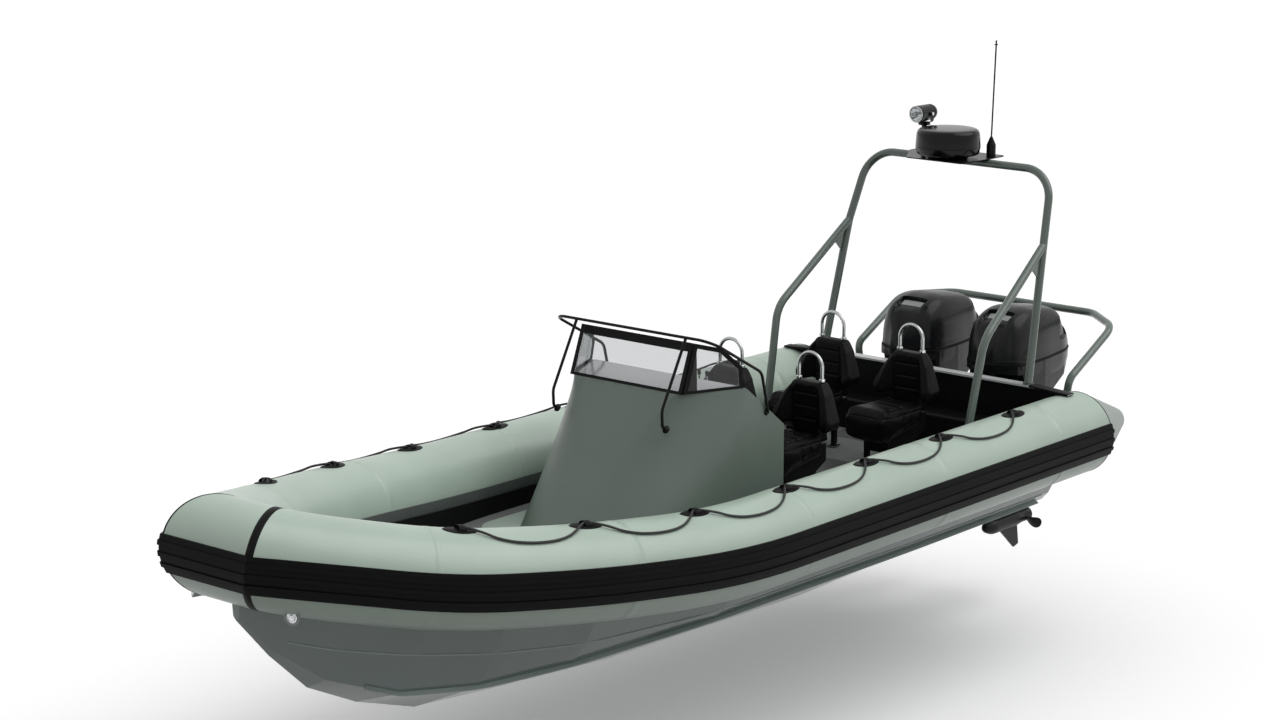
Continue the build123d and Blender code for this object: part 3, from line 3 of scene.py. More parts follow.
import bmesh
import bpy
import numpy as np
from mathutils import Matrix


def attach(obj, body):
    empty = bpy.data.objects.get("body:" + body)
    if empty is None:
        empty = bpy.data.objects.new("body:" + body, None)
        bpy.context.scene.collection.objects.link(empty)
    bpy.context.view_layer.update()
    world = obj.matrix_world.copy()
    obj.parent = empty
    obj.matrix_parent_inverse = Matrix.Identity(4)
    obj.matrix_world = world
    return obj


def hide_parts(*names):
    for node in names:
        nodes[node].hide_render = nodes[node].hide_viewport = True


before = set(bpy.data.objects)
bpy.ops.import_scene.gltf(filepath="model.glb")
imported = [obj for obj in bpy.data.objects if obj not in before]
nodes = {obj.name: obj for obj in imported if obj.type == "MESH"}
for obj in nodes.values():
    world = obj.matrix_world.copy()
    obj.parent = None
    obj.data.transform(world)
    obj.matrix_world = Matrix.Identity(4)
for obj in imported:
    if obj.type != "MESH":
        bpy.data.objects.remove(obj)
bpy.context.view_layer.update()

# ---------------------------------------------------------------- camera
# A long lens off the port bow, a little over head height, level from side to side.
# The boat hangs clear of the floor on its waterline.
camera_data = bpy.data.cameras.new("camera")
camera_data.sensor_width = 36.0
camera_data.lens = 82.62
camera_data.clip_end = 500.0


def placed(name, data):
    """A new object in the scene, where its own data puts it."""
    thing = bpy.data.objects.new(name, data)
    bpy.context.scene.collection.objects.link(thing)
    return thing


camera = placed("camera", camera_data)
camera.location = (14.5644, 12.2219, 5.7152)
camera.rotation_euler = (math.radians(77.332), 0.0, math.radians(-229.842))
bpy.context.scene.camera = camera
bpy.context.scene.view_settings.view_transform = "Standard"

# ---------------------------------------------------------------- lifelines
# Black laid rope, 16 mm through, rove through a patch at every metre or so of tube.
# Between patches it drops outboard in a slack scallop that lies on the tube.
rope_route = [
    (2.6765, 0.8286, 1.0274), (2.6560, 0.8465, 1.0229), (2.6397, 0.8741, 1.0169), (2.6190, 0.9136, 1.0064),
    (2.5940, 0.9547, 0.9925), (2.5597, 0.9944, 0.9682), (2.5108, 1.0371, 0.9483), (2.4419, 1.0772, 0.9288),
    (2.3296, 1.1213, 0.9096), (2.2088, 1.1506, 0.9007), (2.1272, 1.1563, 0.9025), (2.0607, 1.1492, 0.9083),
    (2.0063, 1.1371, 0.9212), (1.9606, 1.1181, 0.9257), (1.9199, 1.0981, 0.9277), (1.8904, 1.0852, 0.9271),
    (1.8637, 1.0826, 0.9251), (1.8400, 1.0970, 0.9217), (1.8188, 1.1218, 0.9169), (1.7913, 1.1577, 0.9077),
    (1.7594, 1.1949, 0.8952), (1.7184, 1.2294, 0.8723), (1.6630, 1.2652, 0.8539), (1.5879, 1.2963, 0.8359),
    (1.4671, 1.3241, 0.8196), (1.3448, 1.3371, 0.8132), (1.2634, 1.3329, 0.8165), (1.1984, 1.3179, 0.8239),
    (1.1463, 1.2993, 0.8383), (1.1034, 1.2750, 0.8440), (1.0654, 1.2504, 0.8471), (1.0376, 1.2341, 0.8475),
    (1.0113, 1.2284, 0.8464), (0.9862, 1.2399, 0.8442), (0.9623, 1.2621, 0.8404), (0.9306, 1.2946, 0.8328),
    (0.8943, 1.3279, 0.8220), (0.8487, 1.3576, 0.8015), (0.7888, 1.3868, 0.7862), (0.7097, 1.4092, 0.7727),
    (0.5844, 1.4229, 0.7642), (0.4583, 1.4194, 0.7670), (0.3774, 1.4034, 0.7768), (0.3148, 1.3792, 0.7892),
    (0.2656, 1.3536, 0.8073), (0.2254, 1.3239, 0.8160), (0.1896, 1.2948, 0.8215), (0.1628, 1.2753, 0.8237),
    (0.1360, 1.2666, 0.8243),
]
bay_shares = (0.03, 0.06, 0.10, 0.145, 0.20, 0.27, 0.36, 0.50, 0.64, 0.73, 0.80, 0.855, 0.90, 0.94, 0.97, 1.0)
bay_fall = [(1.2753, 0.8237), (1.2948, 0.8215), (1.3239, 0.8160), (1.3536, 0.8073), (1.3792, 0.7892), (1.4036, 0.7768),
            (1.4206, 0.7663)]
bay_scallop = bay_fall + [(1.4279, 0.7614)] + bay_fall[::-1] + [(1.2666, 0.8243)]
for start, end in ((0.1360, -0.7310), (-0.7310, -1.6000), (-1.6000, -2.4930)):
    rope_route += [(round(start + (end - start) * share, 4), y, z) for share, (y, z) in zip(bay_shares, bay_scallop)]
rope_radius = 0.008


def feed(tree, node, sockets):
    """Gives each socket of a node its number, or joins it to the output of another node."""
    for socket, value in sockets.items():
        if isinstance(value, bpy.types.NodeSocket):
            tree.links.new(value, node.inputs[socket])
        else:
            node.inputs[socket].default_value = value
    return node


def add(tree, kind, sockets, **settings):
    """One new shader node with its settings made and its sockets fed."""
    node = tree.nodes.new("ShaderNode" + kind)
    for setting, choice in settings.items():
        setattr(node, setting, choice)
    return feed(tree, node, sockets)


def bare_material(name):
    """A new material, its node tree, and the places on the piece that its patterns read."""
    material = bpy.data.materials.new(name)
    material.use_nodes = True
    return material, material.node_tree, add(material.node_tree, "TexCoord", {}).outputs


def finished(material, sockets):
    """The material with the sockets of its shader fed."""
    feed(material.node_tree, material.node_tree.nodes["Principled BSDF"], sockets)
    return material


def two_tones(tree, source, colour, levels, ends=(0.0, 1.0)):
    """The colour times the first level up to the first end of the source, then blended to the second at the other."""
    ramp = add(tree, "ValToRGB", {"Fac": source})
    for element, level, end in zip(ramp.color_ramp.elements, levels, ends):
        element.position = end
        element.color = (colour[0] * level, colour[1] * level, colour[2] * level, 1)
    return ramp.outputs["Color"]


def bumps(tree, height, strength, depth, under=None):
    """Relief of the given depth in metres where height goes from 0 to 1, laid over any relief under it."""
    sockets = {"Height": height, "Strength": strength, "Distance": depth}
    if under is not None:
        sockets["Normal"] = under
    return add(tree, "Bump", sockets).outputs["Normal"]


def laid_rope(name, colour):
    """Twisted yarns: bands slanting along the rope's own length, with painted shade in the lay between them and the
    crowns painted lighter.
    """
    material, tree, place = bare_material(name)
    yarn_and_lay_shade = add(tree, "TexWave", {"Vector": place["Object"], "Scale": 45.0, "Distortion": 1.5, "Detail": 2.0},
               bands_direction="DIAGONAL").outputs["Fac"]
    # Colour: painted shade in the lay between the strands, painted lighter on their crowns.
    return finished(material, {"Base Color": two_tones(tree, yarn_and_lay_shade, colour, (0.4, 1.6)),
                               "Normal": bumps(tree, yarn_and_lay_shade, 0.7, 0.002), "Roughness": 0.62})


rope_finish = laid_rope("laid_rope", (0.013, 0.015, 0.013))
for side, label in ((1, "port"), (-1, "starboard")):
    line = bpy.data.curves.new("lifeline_" + label, "CURVE")
    line.dimensions = "3D"
    run = line.splines.new("NURBS")
    run.points.add(len(rope_route) - 1)
    for point, (x, y, z) in zip(run.points, rope_route):
        point.co = (x, side * y, z, 1.0)
    run.order_u = 3
    run.use_endpoint_u = True
    run.resolution_u = 6
    line.bevel_depth = rope_radius
    line.bevel_resolution = 4
    line.use_fill_caps = True
    line.materials.append(rope_finish)
    lifeline = placed("rope_" + label, line)
    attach(lifeline, "hull_body")
    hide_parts("lifeline_" + label)
    x, y, z = rope_route[0]

# ---------------------------------------------------------------- floor and light
# A white floor well below the keel keeps the boat's soft shadow.
# One broad sun and an even sky, brighter above than below, stand for the studio's lamps.
floor_z = -1.08
floor_reach = 150
floor_bounce = (0.20, 0.20, 0.20, 1)
floor_seen = (0.98, 0.98, 0.98, 1)
floor_lift = 0.12
sky_at_horizon, sky_overhead, sky_seen = 0.12, 1.16, 1.0


def seen_by_lens(tree):
    """1 for what the camera sees straight, mirrored or through glass, and 0 for light on its way to other things."""
    rays = add(tree, "LightPath", {}).outputs
    straight = add(tree, "Math", {0: rays["Is Camera Ray"], 1: rays["Is Glossy Ray"]}, operation="MAXIMUM").outputs[0]
    return add(tree, "Math", {0: straight, 1: rays["Is Transmission Ray"]}, operation="MAXIMUM").outputs[0]


floor_mesh = bpy.data.meshes.new("floor")
floor_mesh.from_pydata([(a * floor_reach, b * floor_reach, floor_z) for a, b in ((-1, -1), (1, -1), (1, 1), (-1, 1))],
                       [], [(0, 1, 2, 3)])
floor = placed("floor", floor_mesh)
floor_paint = bpy.data.materials.new("floor_white")
floor_paint.use_nodes = True
tree = floor_paint.node_tree
tree.nodes.clear()
seen = seen_by_lens(tree)
shade = add(tree, "Mix", {"Factor": seen, 6: floor_bounce, 7: floor_seen}, data_type="RGBA")
lit = add(tree, "BsdfDiffuse", {"Color": shade.outputs[2]})
amount = add(tree, "Math", {0: seen, 1: floor_lift}, operation="MULTIPLY")
lift = add(tree, "Emission", {"Color": (1, 1, 1, 1), "Strength": amount.outputs[0]})
both = add(tree, "AddShader", {0: lit.outputs[0], 1: lift.outputs[0]})
add(tree, "OutputMaterial", {"Surface": both.outputs[0]})
floor_mesh.materials.append(floor_paint)

sky = bpy.data.worlds.new("studio")
sky.use_nodes = True
bpy.context.scene.world = sky
tree = sky.node_tree
tree.nodes.clear()
way_out = add(tree, "SeparateXYZ", {0: add(tree, "TexCoord", {}).outputs["Generated"]})
height = add(tree, "MapRange", {"Value": way_out.outputs["Z"], "From Min": 0.0, "From Max": 1.0,
                                "To Min": sky_at_horizon, "To Max": sky_overhead})
level = add(tree, "Mix", {"Factor": seen_by_lens(tree), "A": height.outputs["Result"], "B": sky_seen},
            data_type="FLOAT")
back = add(tree, "Background", {"Strength": level.outputs["Result"]})
add(tree, "OutputWorld", {"Surface": back.outputs[0]})

sun_lamp = bpy.data.lights.new("sun", "SUN")
sun_lamp.energy = 1.2
sun_lamp.angle = math.radians(55)
sun = placed("sun", sun_lamp)
sun.rotation_euler = (math.radians(-30), math.radians(-24), 0.0)

# ---------------------------------------------------------------- buoyancy tubes
# Coated fabric cut in panels and glued into one long tube that air keeps round and taut.
# Tapes cover the joints: round the tube at each air chamber, at the stern cones and at the bow mitres.
tube_radius = 0.300
tube_corners = [(-3.377, 1.250, 0.507), (0.831, 1.250, 0.507), (1.914, 1.069, 0.609), (2.781, 0.788, 0.716),
                (3.456, 0.365, 0.878), (3.798, 0.073, 0.988)]
mitre_centre = np.array((3.627, 0.219, 0.933))
chamber_joints = (0.62, 2.05, 3.55, 5.05, 6.35)
joint_width = 0.036
joint_rise = 0.0011
joint_slope = 0.002
around = np.linspace(-math.pi, math.pi, 97)


def rounded_route(corners, share=0.45, steps=18):
    """Straight runs whose corners are arcs that use a share of the shorter run beside them.
    Each arc is corner - a d + r (a sin t + n (1 - cos t)), for a turn t, a way in a and a way across n."""
    corners = np.asarray(corners, float)
    runs = np.diff(corners, axis=0)
    lengths = np.linalg.norm(runs, axis=1)
    ways = runs / lengths[:, None]
    parts = [corners[:1]]
    for i in range(1, len(corners) - 1):
        turn = math.acos(min(1.0, float(ways[i - 1] @ ways[i])))
        if turn < 1e-5:
            continue
        reach = share * min(lengths[i - 1], lengths[i])
        across = (ways[i] - ways[i - 1] * math.cos(turn)) / math.sin(turn)
        t = np.linspace(0.0, turn, steps)[:, None]
        radius = reach / math.tan(turn / 2)
        parts.append(corners[i] - ways[i - 1] * reach + radius * (ways[i - 1] * np.sin(t) + across * (1 - np.cos(t))))
    parts.append(corners[-1:])
    return np.concatenate(parts)


def lengths_along(points):
    """How far along its own line each point is."""
    return np.concatenate([[0.0], np.cumsum(np.linalg.norm(np.diff(points, axis=0), axis=1))])


def unit(vectors):
    """The same directions at length one."""
    return vectors / np.linalg.norm(vectors, axis=-1, keepdims=True)


def skin(name, grids, material, crease=42.0, body="hull_body"):
    """One piece from grids of points, rows by columns: neighbours make four-sided faces, and points in one place
    are merged, so equal first and last columns close a tube and a row of equal points is a pole.
    The UV map is the distance in metres along the columns and the rows."""
    points, faces, cloth = [], [], []
    start = 0
    for grid in grids:
        rows, columns = grid.shape[:2]
        index = start + np.arange(rows * columns).reshape(rows, columns)
        faces.append(np.stack([index[:-1, :-1], index[:-1, 1:], index[1:, 1:], index[1:, :-1]], -1).reshape(-1, 4))
        along = np.zeros((rows, columns))
        along[1:] = np.cumsum(np.linalg.norm(np.diff(grid, axis=0), axis=2), axis=0)
        girth = np.zeros((rows, columns))
        girth[:, 1:] = np.cumsum(np.linalg.norm(np.diff(grid, axis=1), axis=2), axis=1)
        points.append(grid.reshape(-1, 3))
        cloth.append(np.stack([along, girth], -1).reshape(-1, 2))
        start += rows * columns
    faces = np.concatenate(faces)
    mesh = bpy.data.meshes.new(name)
    mesh.from_pydata(np.concatenate(points).tolist(), [], faces.tolist())
    mesh.uv_layers.new(name="cloth").data.foreach_set("uv", np.concatenate(cloth)[faces.ravel()].ravel())
    shell = bmesh.new()
    shell.from_mesh(mesh)
    bmesh.ops.remove_doubles(shell, verts=shell.verts, dist=2e-5)
    bmesh.ops.recalc_face_normals(shell, faces=shell.faces)
    shell.to_mesh(mesh)
    shell.free()
    mesh.shade_smooth()
    mesh.set_sharp_from_angle(angle=math.radians(crease))
    mesh.materials.append(material)
    piece = placed(name, mesh)
    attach(piece, body)
    return piece


def mottle(tree, place, scale, detail):
    """Cloudy noise, finer the greater the scale, with finer layers as detail rises."""
    return add(tree, "TexNoise", {"Vector": place, "Scale": scale, "Detail": detail}).outputs["Fac"]


def worn(tree, source, low, high):
    """Roughness from low to high as the source goes from 0 to 1."""
    return add(tree, "MapRange", {"Value": source, "To Min": low, "To Max": high}).outputs["Result"]


def coated_fabric(name, colour, gloss=0.42):
    """Coated cloth: a fine plain weave under the coating, colour that drifts by the panel, and rubbed patches."""
    material, tree, place = bare_material(name)
    drift, rub, swell = (mottle(tree, place["Object"], *sizes) for sizes in ((2.2, 6.0), (11.0, 8.0), (3.4, 2.0)))
    warp, weft = (add(tree, "TexWave", {"Vector": place["UV"], "Scale": 160.0, "Distortion": 0.4},
                      bands_direction=way).outputs["Fac"] for way in ("X", "Y"))
    weave = add(tree, "Math", {0: warp, 1: weft}, operation="ADD").outputs[0]
    slack = bumps(tree, swell, 0.35, 0.004)
    return finished(material, {"Base Color": two_tones(tree, drift, colour, (0.955, 1.035), (0.32, 0.68)),
                               "Roughness": worn(tree, rub, gloss * 0.82, gloss * 1.22),
                               "Normal": bumps(tree, weave, 0.35, 0.00012, slack), "Specular IOR Level": 0.62})


axis_line = rounded_route(tube_corners)
axis_walk = lengths_along(axis_line)
axis_steps = np.linspace(0.0, axis_walk[-1], 1600)
axis_points = np.stack([np.interp(axis_steps, axis_walk, axis_line[:, i]) for i in range(3)], -1)
axis_ways = unit(np.gradient(axis_points, axis=0))


def on_tube(walk, angle, radius):
    """Points of the port tube: the axis at that walk plus radius (outboard cos a + up sin a), square to the axis."""
    walk, angle, radius = np.broadcast_arrays(walk, angle, radius)
    centre = np.stack([np.interp(walk, axis_steps, axis_points[:, i]) for i in range(3)], -1)
    along = unit(np.stack([np.interp(walk, axis_steps, axis_ways[:, i]) for i in range(3)], -1))
    outboard = unit(np.stack([-along[..., 1], along[..., 0], 0 * along[..., 0]], -1))
    up = np.cross(along, outboard)
    return centre + radius[..., None] * (outboard * np.cos(angle)[..., None] + up * np.sin(angle)[..., None])


bow_way = unit(mitre_centre - np.array(tube_corners[-2]))
mitre_face = bow_way + np.array((0.0, -1.0, 0.0))
reach_walks = axis_steps[axis_steps > axis_steps[-1] - 1.2]
past_mitre = (on_tube(reach_walks[:, None], around[None, :], tube_radius) - mitre_centre) @ mitre_face
first_past = np.argmax(past_mitre > 0, axis=0)
columns = np.arange(len(around))
before, after = past_mitre[first_past - 1, columns], past_mitre[first_past, columns]
mitre_walk = reach_walks[first_past - 1] - before / (after - before) * (reach_walks[1] - reach_walks[0])
mitre_walk[-1] = mitre_walk[0]

joint_edges = np.concatenate([[j - joint_width / 2, j - joint_width / 2 + joint_slope,
                               j + joint_width / 2 - joint_slope, j + joint_width / 2] for j in chamber_joints])
plain_walk = float(mitre_walk.min()) - 0.06
rings = np.unique(np.concatenate([np.arange(0.0, plain_walk, 0.055), joint_edges, [plain_walk]]))
on_joint = np.max([np.clip((joint_width / 2 - abs(rings - j)) / joint_slope, 0.0, 1.0) for j in chamber_joints], axis=0)
tube_rings = on_tube(rings[:, None], around[None, :], (tube_radius + joint_rise * on_joint)[:, None])
last_share = np.linspace(0.0, 1.0, 9)[1:, None]
mitre_rings = on_tube(plain_walk + (mitre_walk[None, :] - plain_walk) * last_share, around[None, :], tube_radius)
tube_grid = np.concatenate([tube_rings, mitre_rings])

cone_profile = rounded_route([(-0.560, 0.0, 0.0), (-0.560, 0.070, 0.0), (0.0, 0.300, 0.0)], share=0.62)
cone_profile = np.concatenate([cone_profile[:-1], np.linspace(cone_profile[-2], cone_profile[-1], 12)[1:]])
cone_grid = on_tube(np.zeros((len(cone_profile), 1)), around[None, :], cone_profile[:, 1:2])
cone_grid[..., 0] += cone_profile[:, 0:1]

bow_reach = mitre_centre[1] + tube_radius * (mitre_face[0] * np.cos(around)
                                             + mitre_face[2] * np.sin(around)) / -mitre_face[1]
bow_rows = np.linspace(-1.0, 1.0, 15)[:, None]
bow_grid = np.stack([mitre_centre[0] + tube_radius * np.cos(around) + 0 * bow_rows, bow_rows * bow_reach,
                     mitre_centre[2] + tube_radius * np.sin(around) + 0 * bow_rows], -1)

fabric = coated_fabric("tube_fabric", (0.42, 0.52, 0.443), gloss=0.30)
cone_fabric = coated_fabric("cone_fabric", (0.29, 0.335, 0.305))
mirrored = np.array((1.0, -1.0, 1.0))
both_hands = (np.ones(3), mirrored)
for label, hand in zip(("port", "starboard"), both_hands):
    tube = skin("tube_skin_" + label, [tube_grid * hand], fabric)
    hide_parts("tube_" + label)
    cone = skin("stern_cone_" + label, [cone_grid * hand], cone_fabric)
bow_tube = skin("tube_skin_bow", [bow_grid], fabric)
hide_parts("tube_bow")


def tape_section(height):
    """Share of the tape's width and height over the cloth: a low box whose foot is a little inside the cloth."""
    return ((0.0, -0.002), (0.0, height * 0.6), (0.15, height), (0.85, height), (1.0, height * 0.6), (1.0, -0.002),
            (0.0, -0.002))


def tape_round(walks, reach, height):
    """A flat tape round the tube: its two edges follow walks and walks + reach."""
    return np.stack([on_tube(walks + reach * share, around, tube_radius + rise)
                     for share, rise in tape_section(height)], 1)


def bow_tape(reach, height):
    """The same tape on the tube across the bow, its edges at bow_reach and bow_reach - reach from the middle."""
    rows = []
    for share, rise in tape_section(height):
        scale = (tube_radius + rise) / tube_radius
        rows.append(np.stack([mitre_centre[0] + tube_radius * scale * np.cos(around), bow_reach - reach * share,
                              mitre_centre[2] + tube_radius * scale * np.sin(around)], -1))
    return np.stack(rows, 1)


def rubber(name, colour, roughness=0.5, scuff=0.5):
    """Black rubber: pores, long scuffs that run fore and aft, and greyer worn places."""
    material, tree, place = bare_material(name)
    drawn_out = add(tree, "Mapping", {"Vector": place["Object"], "Scale": (1.6, 3.0, 26.0)}).outputs["Vector"]
    scuffs = mottle(tree, drawn_out, 2.0, 8.0)
    pores = mottle(tree, place["Object"], 520.0, 3.0)
    return finished(material, {"Base Color": two_tones(tree, scuffs, colour, (1.0, 1.0 + 2.2 * scuff), (0.42, 0.80)),
                               "Roughness": worn(tree, scuffs, roughness * 0.8, min(1.0, roughness * 1.35)),
                               "Normal": bumps(tree, pores, 0.5, 0.0003), "Specular IOR Level": 0.07})


tape_height, mitre_tape_width, thin_tape_width = 0.0016, 0.027, 0.011
cone_seam_start, cone_seam_width, cone_seam_height = 0.006, 0.018, 0.0018
black_rubber = rubber("black_rubber", (0.0055, 0.0057, 0.0057), roughness=0.46)
mitre_tapes = skin("mitre_tape_port", [tape_round(mitre_walk, -mitre_tape_width, tape_height),
                                      bow_tape(mitre_tape_width, tape_height)], black_rubber)
thin_tapes = skin("mitre_tape_starboard", [tape_round(mitre_walk, -thin_tape_width, tape_height) * mirrored,
                                           bow_tape(thin_tape_width, tape_height) * mirrored], black_rubber)
cone_bands = [tape_round(np.full_like(around, cone_seam_start), -cone_seam_width, cone_seam_height) * hand
              for hand in both_hands]
cone_seams = skin("cone_seams", cone_bands, black_rubber)

# ---------------------------------------------------------------- rubbing strake
# A thick rubber moulding glued round the widest part of the tubes, with three ribs that take the knocks.
# It comes from the mould shiny and goes grey in long scuffs.


def dress(material, *names):
    """Gives every slot of the named solids one material."""
    for name in names:
        solid = nodes[name]
        for place_in_list in range(len(solid.material_slots)):
            solid.material_slots[place_in_list].material = material
        if not solid.material_slots:
            solid.data.materials.append(material)


strake_rubber = rubber("strake_rubber", (0.0036, 0.0038, 0.0038), roughness=0.44, scuff=0.35)
dress(strake_rubber, "strake_port", "strake_starboard", "strake_bow")

# ---------------------------------------------------------------- lifeline pads
# Moulded rubber pads glued along the top of the tubes, with ribs for grip and a strap that the rope runs under.
# The strap bridges from one side of the pad to the other and leaves the rope a loose tunnel.
pad_stations = (2.714, 1.892, 1.030, 0.136, -0.731, -1.600, -2.493)
pad_angle = math.radians(87)
pad_half_length = 0.119
pad_half_width = 0.062
pad_height = 0.0068


def rubber_pad(walk):
    """An oval on the tube from its middle out: height falls to nothing at the rim, past a bead, over ribs that
    cross it; a closed strap of rounded section stands over the middle."""
    share = np.array([0.0, 0.10, 0.2, 0.26, 0.32, 0.38, 0.44, 0.5, 0.56, 0.62, 0.68, 0.74, 0.80, 0.86, 0.90, 0.94, 0.97,
                      0.99, 1.0, 1.0])[:, None]
    turn = np.linspace(0.0, 2 * math.pi, 65)[None, :]
    along = pad_half_length * share * np.cos(turn)
    across = pad_half_width * share * np.sin(turn)
    bead = 0.0024 * np.exp(-((share - 0.90) / 0.035) ** 2)
    ribs = 0.0016 * np.clip(np.cos(along * 2 * math.pi / 0.019), -0.2, 1) * (share < 0.83) * (abs(along) > 0.036)
    height = pad_height * (1 - share ** 14) * 0.72 + bead + ribs
    height[-1] = -0.004
    pad = on_tube(walk + along, pad_angle + across / tube_radius, tube_radius + height)
    over = np.linspace(0.0, math.pi, 19)[:, None]
    ring = np.linspace(0.0, 2 * math.pi, 13)[None, :]
    half_width, half_thick = 0.021, 0.0024
    arch_reach, arch_rise = 0.036, 0.0270
    thick = half_thick * np.sin(ring)
    rise = 0.001 + (arch_rise + thick) * np.sin(over) ** 0.62
    reach = (arch_reach + thick) * np.cos(over)
    width = half_width * np.sign(np.cos(ring)) * abs(np.cos(ring)) ** 0.5 * (1 + 0.22 * np.cos(over) ** 2)
    strap = on_tube(walk + width, pad_angle + reach / tube_radius, tube_radius + rise)
    return [pad, strap]


pad_rubber = rubber("pad_rubber", (0.0085, 0.0088, 0.0086), roughness=0.42, scuff=0.2)
pad_walks = np.interp(pad_stations, axis_points[:, 0], axis_steps)
pad_grids = [grid * hand for hand in both_hands for walk in pad_walks for grid in rubber_pad(walk)]
pads = skin("lifeline_pads", pad_grids, pad_rubber, crease=50)
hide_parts("lifeline_patches")

# ---------------------------------------------------------------- inflation valves
# A plastic collar welded into the cloth under the bow holds a bright screw-in valve and its star-shaped cap.
# There is one each side, and a wedge under the collar turns it outboard.
valve_walk = np.interp(3.496, axis_points[:, 0], axis_steps)
valve_angle = math.radians(-60)
valve_lift = math.radians(46)


def turned_on_tube(walk, angle, profile, segments=48, lobes=0, lobe_depth=0.0):
    """A profile of radius and height turned about the line square to the tube; lobes wave its radius."""
    centre = on_tube(walk, angle, tube_radius + 0.012)
    out = unit(on_tube(walk, angle + valve_lift, tube_radius) - on_tube(walk, angle + valve_lift, 0.0))
    side = unit(on_tube(walk + 0.01, angle, tube_radius) - centre)
    other = np.cross(out, side)
    turn = np.linspace(0.0, 2 * math.pi, segments + 1)[None, :]
    radius, height = np.asarray(profile).T[:, :, None]
    radius = radius * (1 + lobe_depth * np.cos(lobes * turn))
    return (centre + radius[..., None] * (side * np.cos(turn)[..., None] + other * np.sin(turn)[..., None])
            + (height + 0 * turn)[..., None] * out)


collar = turned_on_tube(valve_walk, valve_angle, [(0.0, -0.060), (0.054, -0.060), (0.052, 0.003), (0.050, 0.006),
                                                  (0.040, 0.008), (0.037, 0.0075), (0.036, 0.002), (0.0, 0.002)])
dish = turned_on_tube(valve_walk, valve_angle, [(0.0, 0.001), (0.034, 0.001), (0.0345, 0.0085), (0.033, 0.0105),
                                                (0.030, 0.0100), (0.026, 0.0045), (0.014, 0.0040), (0.0, 0.0040)])
cap = turned_on_tube(valve_walk, valve_angle, [(0.0, 0.0035), (0.016, 0.0035), (0.0165, 0.010), (0.014, 0.0120),
                                               (0.006, 0.0125), (0.0, 0.0125)], 60, 6, 0.10)

# ---------------------------------------------------------------- bow joint
# Where the foredeck rises from the deck, a stiff strip of coated cloth closes the joint between hull and tube.
# It is glued to the tube's underside and to the hull's inner edge.
joint_walks = np.linspace(*np.interp((1.98, 2.70), axis_points[:, 0], axis_steps), 24)
joint_top = on_tube(joint_walks, math.radians(226), tube_radius - 0.003)
joint_section = [(0.004, 0.0), (0.004, -0.110), (-0.004, -0.110), (-0.004, 0.0), (0.004, 0.0)]
joint_wall = np.stack([joint_top + (0.0, across, drop) for across, drop in joint_section], 1)
joint_ends = [np.repeat(joint_wall[i, :4].mean(0)[None, None], 5, 1) for i in (0, -1)]
joint_grid = np.concatenate([joint_ends[0], joint_wall, joint_ends[1]])
bow_joints = skin("bow_joints", [joint_grid * hand for hand in both_hands], cone_fabric, crease=30)


def bright_metal(name, colour, roughness=0.16):
    """Polished metal with the faint streaks that buffing leaves."""
    material, tree, place = bare_material(name)
    streak = mottle(tree, place["Object"], 60.0, 6.0)
    return finished(material, {"Base Color": two_tones(tree, streak, colour, (0.90, 1.05)),
                               "Roughness": worn(tree, streak, roughness * 0.6, roughness * 1.6), "Metallic": 1.0})


valve_steel = bright_metal("valve_chrome", (0.66, 0.67, 0.68), roughness=0.10)
collars = skin("valve_collars", [collar, collar * mirrored], cone_fabric)
valves = skin("valve_inserts", [grid * hand for grid in (dish, cap) for hand in both_hands],
              valve_steel)
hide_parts("valves")

# ---------------------------------------------------------------- hull
# Deep-V hull laid up in glass fibre in a mould, with its colour in the gelcoat, glossy and a little uneven.
# A rounded bead runs along the knuckle, and a spray rail of wedge section is moulded on at the chine. Both are paler
# than the hull: a painted highlight along those two lines.
hull_knuckle = np.array([(-3.345, 0.985, -0.010), (-1.700, 0.985, -0.010), (0.400, 0.965, 0.000), (1.600, 0.845, 0.050),
                         (2.250, 0.690, 0.118), (2.750, 0.505, 0.195), (3.150, 0.262, 0.275), (3.400, 0.112, 0.356)])
hull_chine = np.array([(-3.345, 0.930, -0.070), (-1.700, 0.925, -0.078), (0.400, 0.880, -0.080), (1.600, 0.720, -0.110),
                       (2.250, 0.545, -0.125), (2.750, 0.375, -0.075), (2.940, 0.275, -0.006)])


def gelcoat(name, colour, roughness=0.16, ripple=0.0006, coat=0.3):
    """Moulded resin: colour drifts slowly along the surface, which also waves a little and has a clear coat."""
    material, tree, place = bare_material(name)
    drift, wave, scuff = (mottle(tree, place["Object"], *sizes) for sizes in ((1.7, 3.0), (9.0, 1.0), (6.0, 6.0)))
    return finished(material, {"Base Color": two_tones(tree, drift, colour, (0.95, 1.05), (0.3, 0.7)),
                               "Roughness": worn(tree, scuff, roughness * 0.75, roughness * 1.35),
                               "Normal": bumps(tree, wave, 0.5, ripple), "Coat Weight": coat, "Coat Roughness": 0.06})


def section_along(route, section, up=(0.0, 0.0, 1.0)):
    """Carries a closed section along a route and closes both ends. The section's first measure is across the route,
    square to up, and its second is square to both."""
    way = unit(np.gradient(route, axis=0))
    across = unit(np.cross(way, np.asarray(up, float)))
    over = np.cross(across, way)
    section = np.asarray(section, float)
    body = route[:, None, :] + section[None, :, :1] * across[:, None, :] + section[None, :, 1:] * over[:, None, :]
    ends = [np.repeat(body[i].mean(0)[None, None], len(section), 1) for i in (0, -1)]
    return np.concatenate([ends[0], body, ends[1]])


def ring(radius, segments=12, squash=1.0):
    """A closed circle of points, for section_along."""
    turn = np.linspace(0.0, 2 * math.pi, segments + 1)
    return np.stack([radius * np.cos(turn), squash * radius * np.sin(turn)], -1)


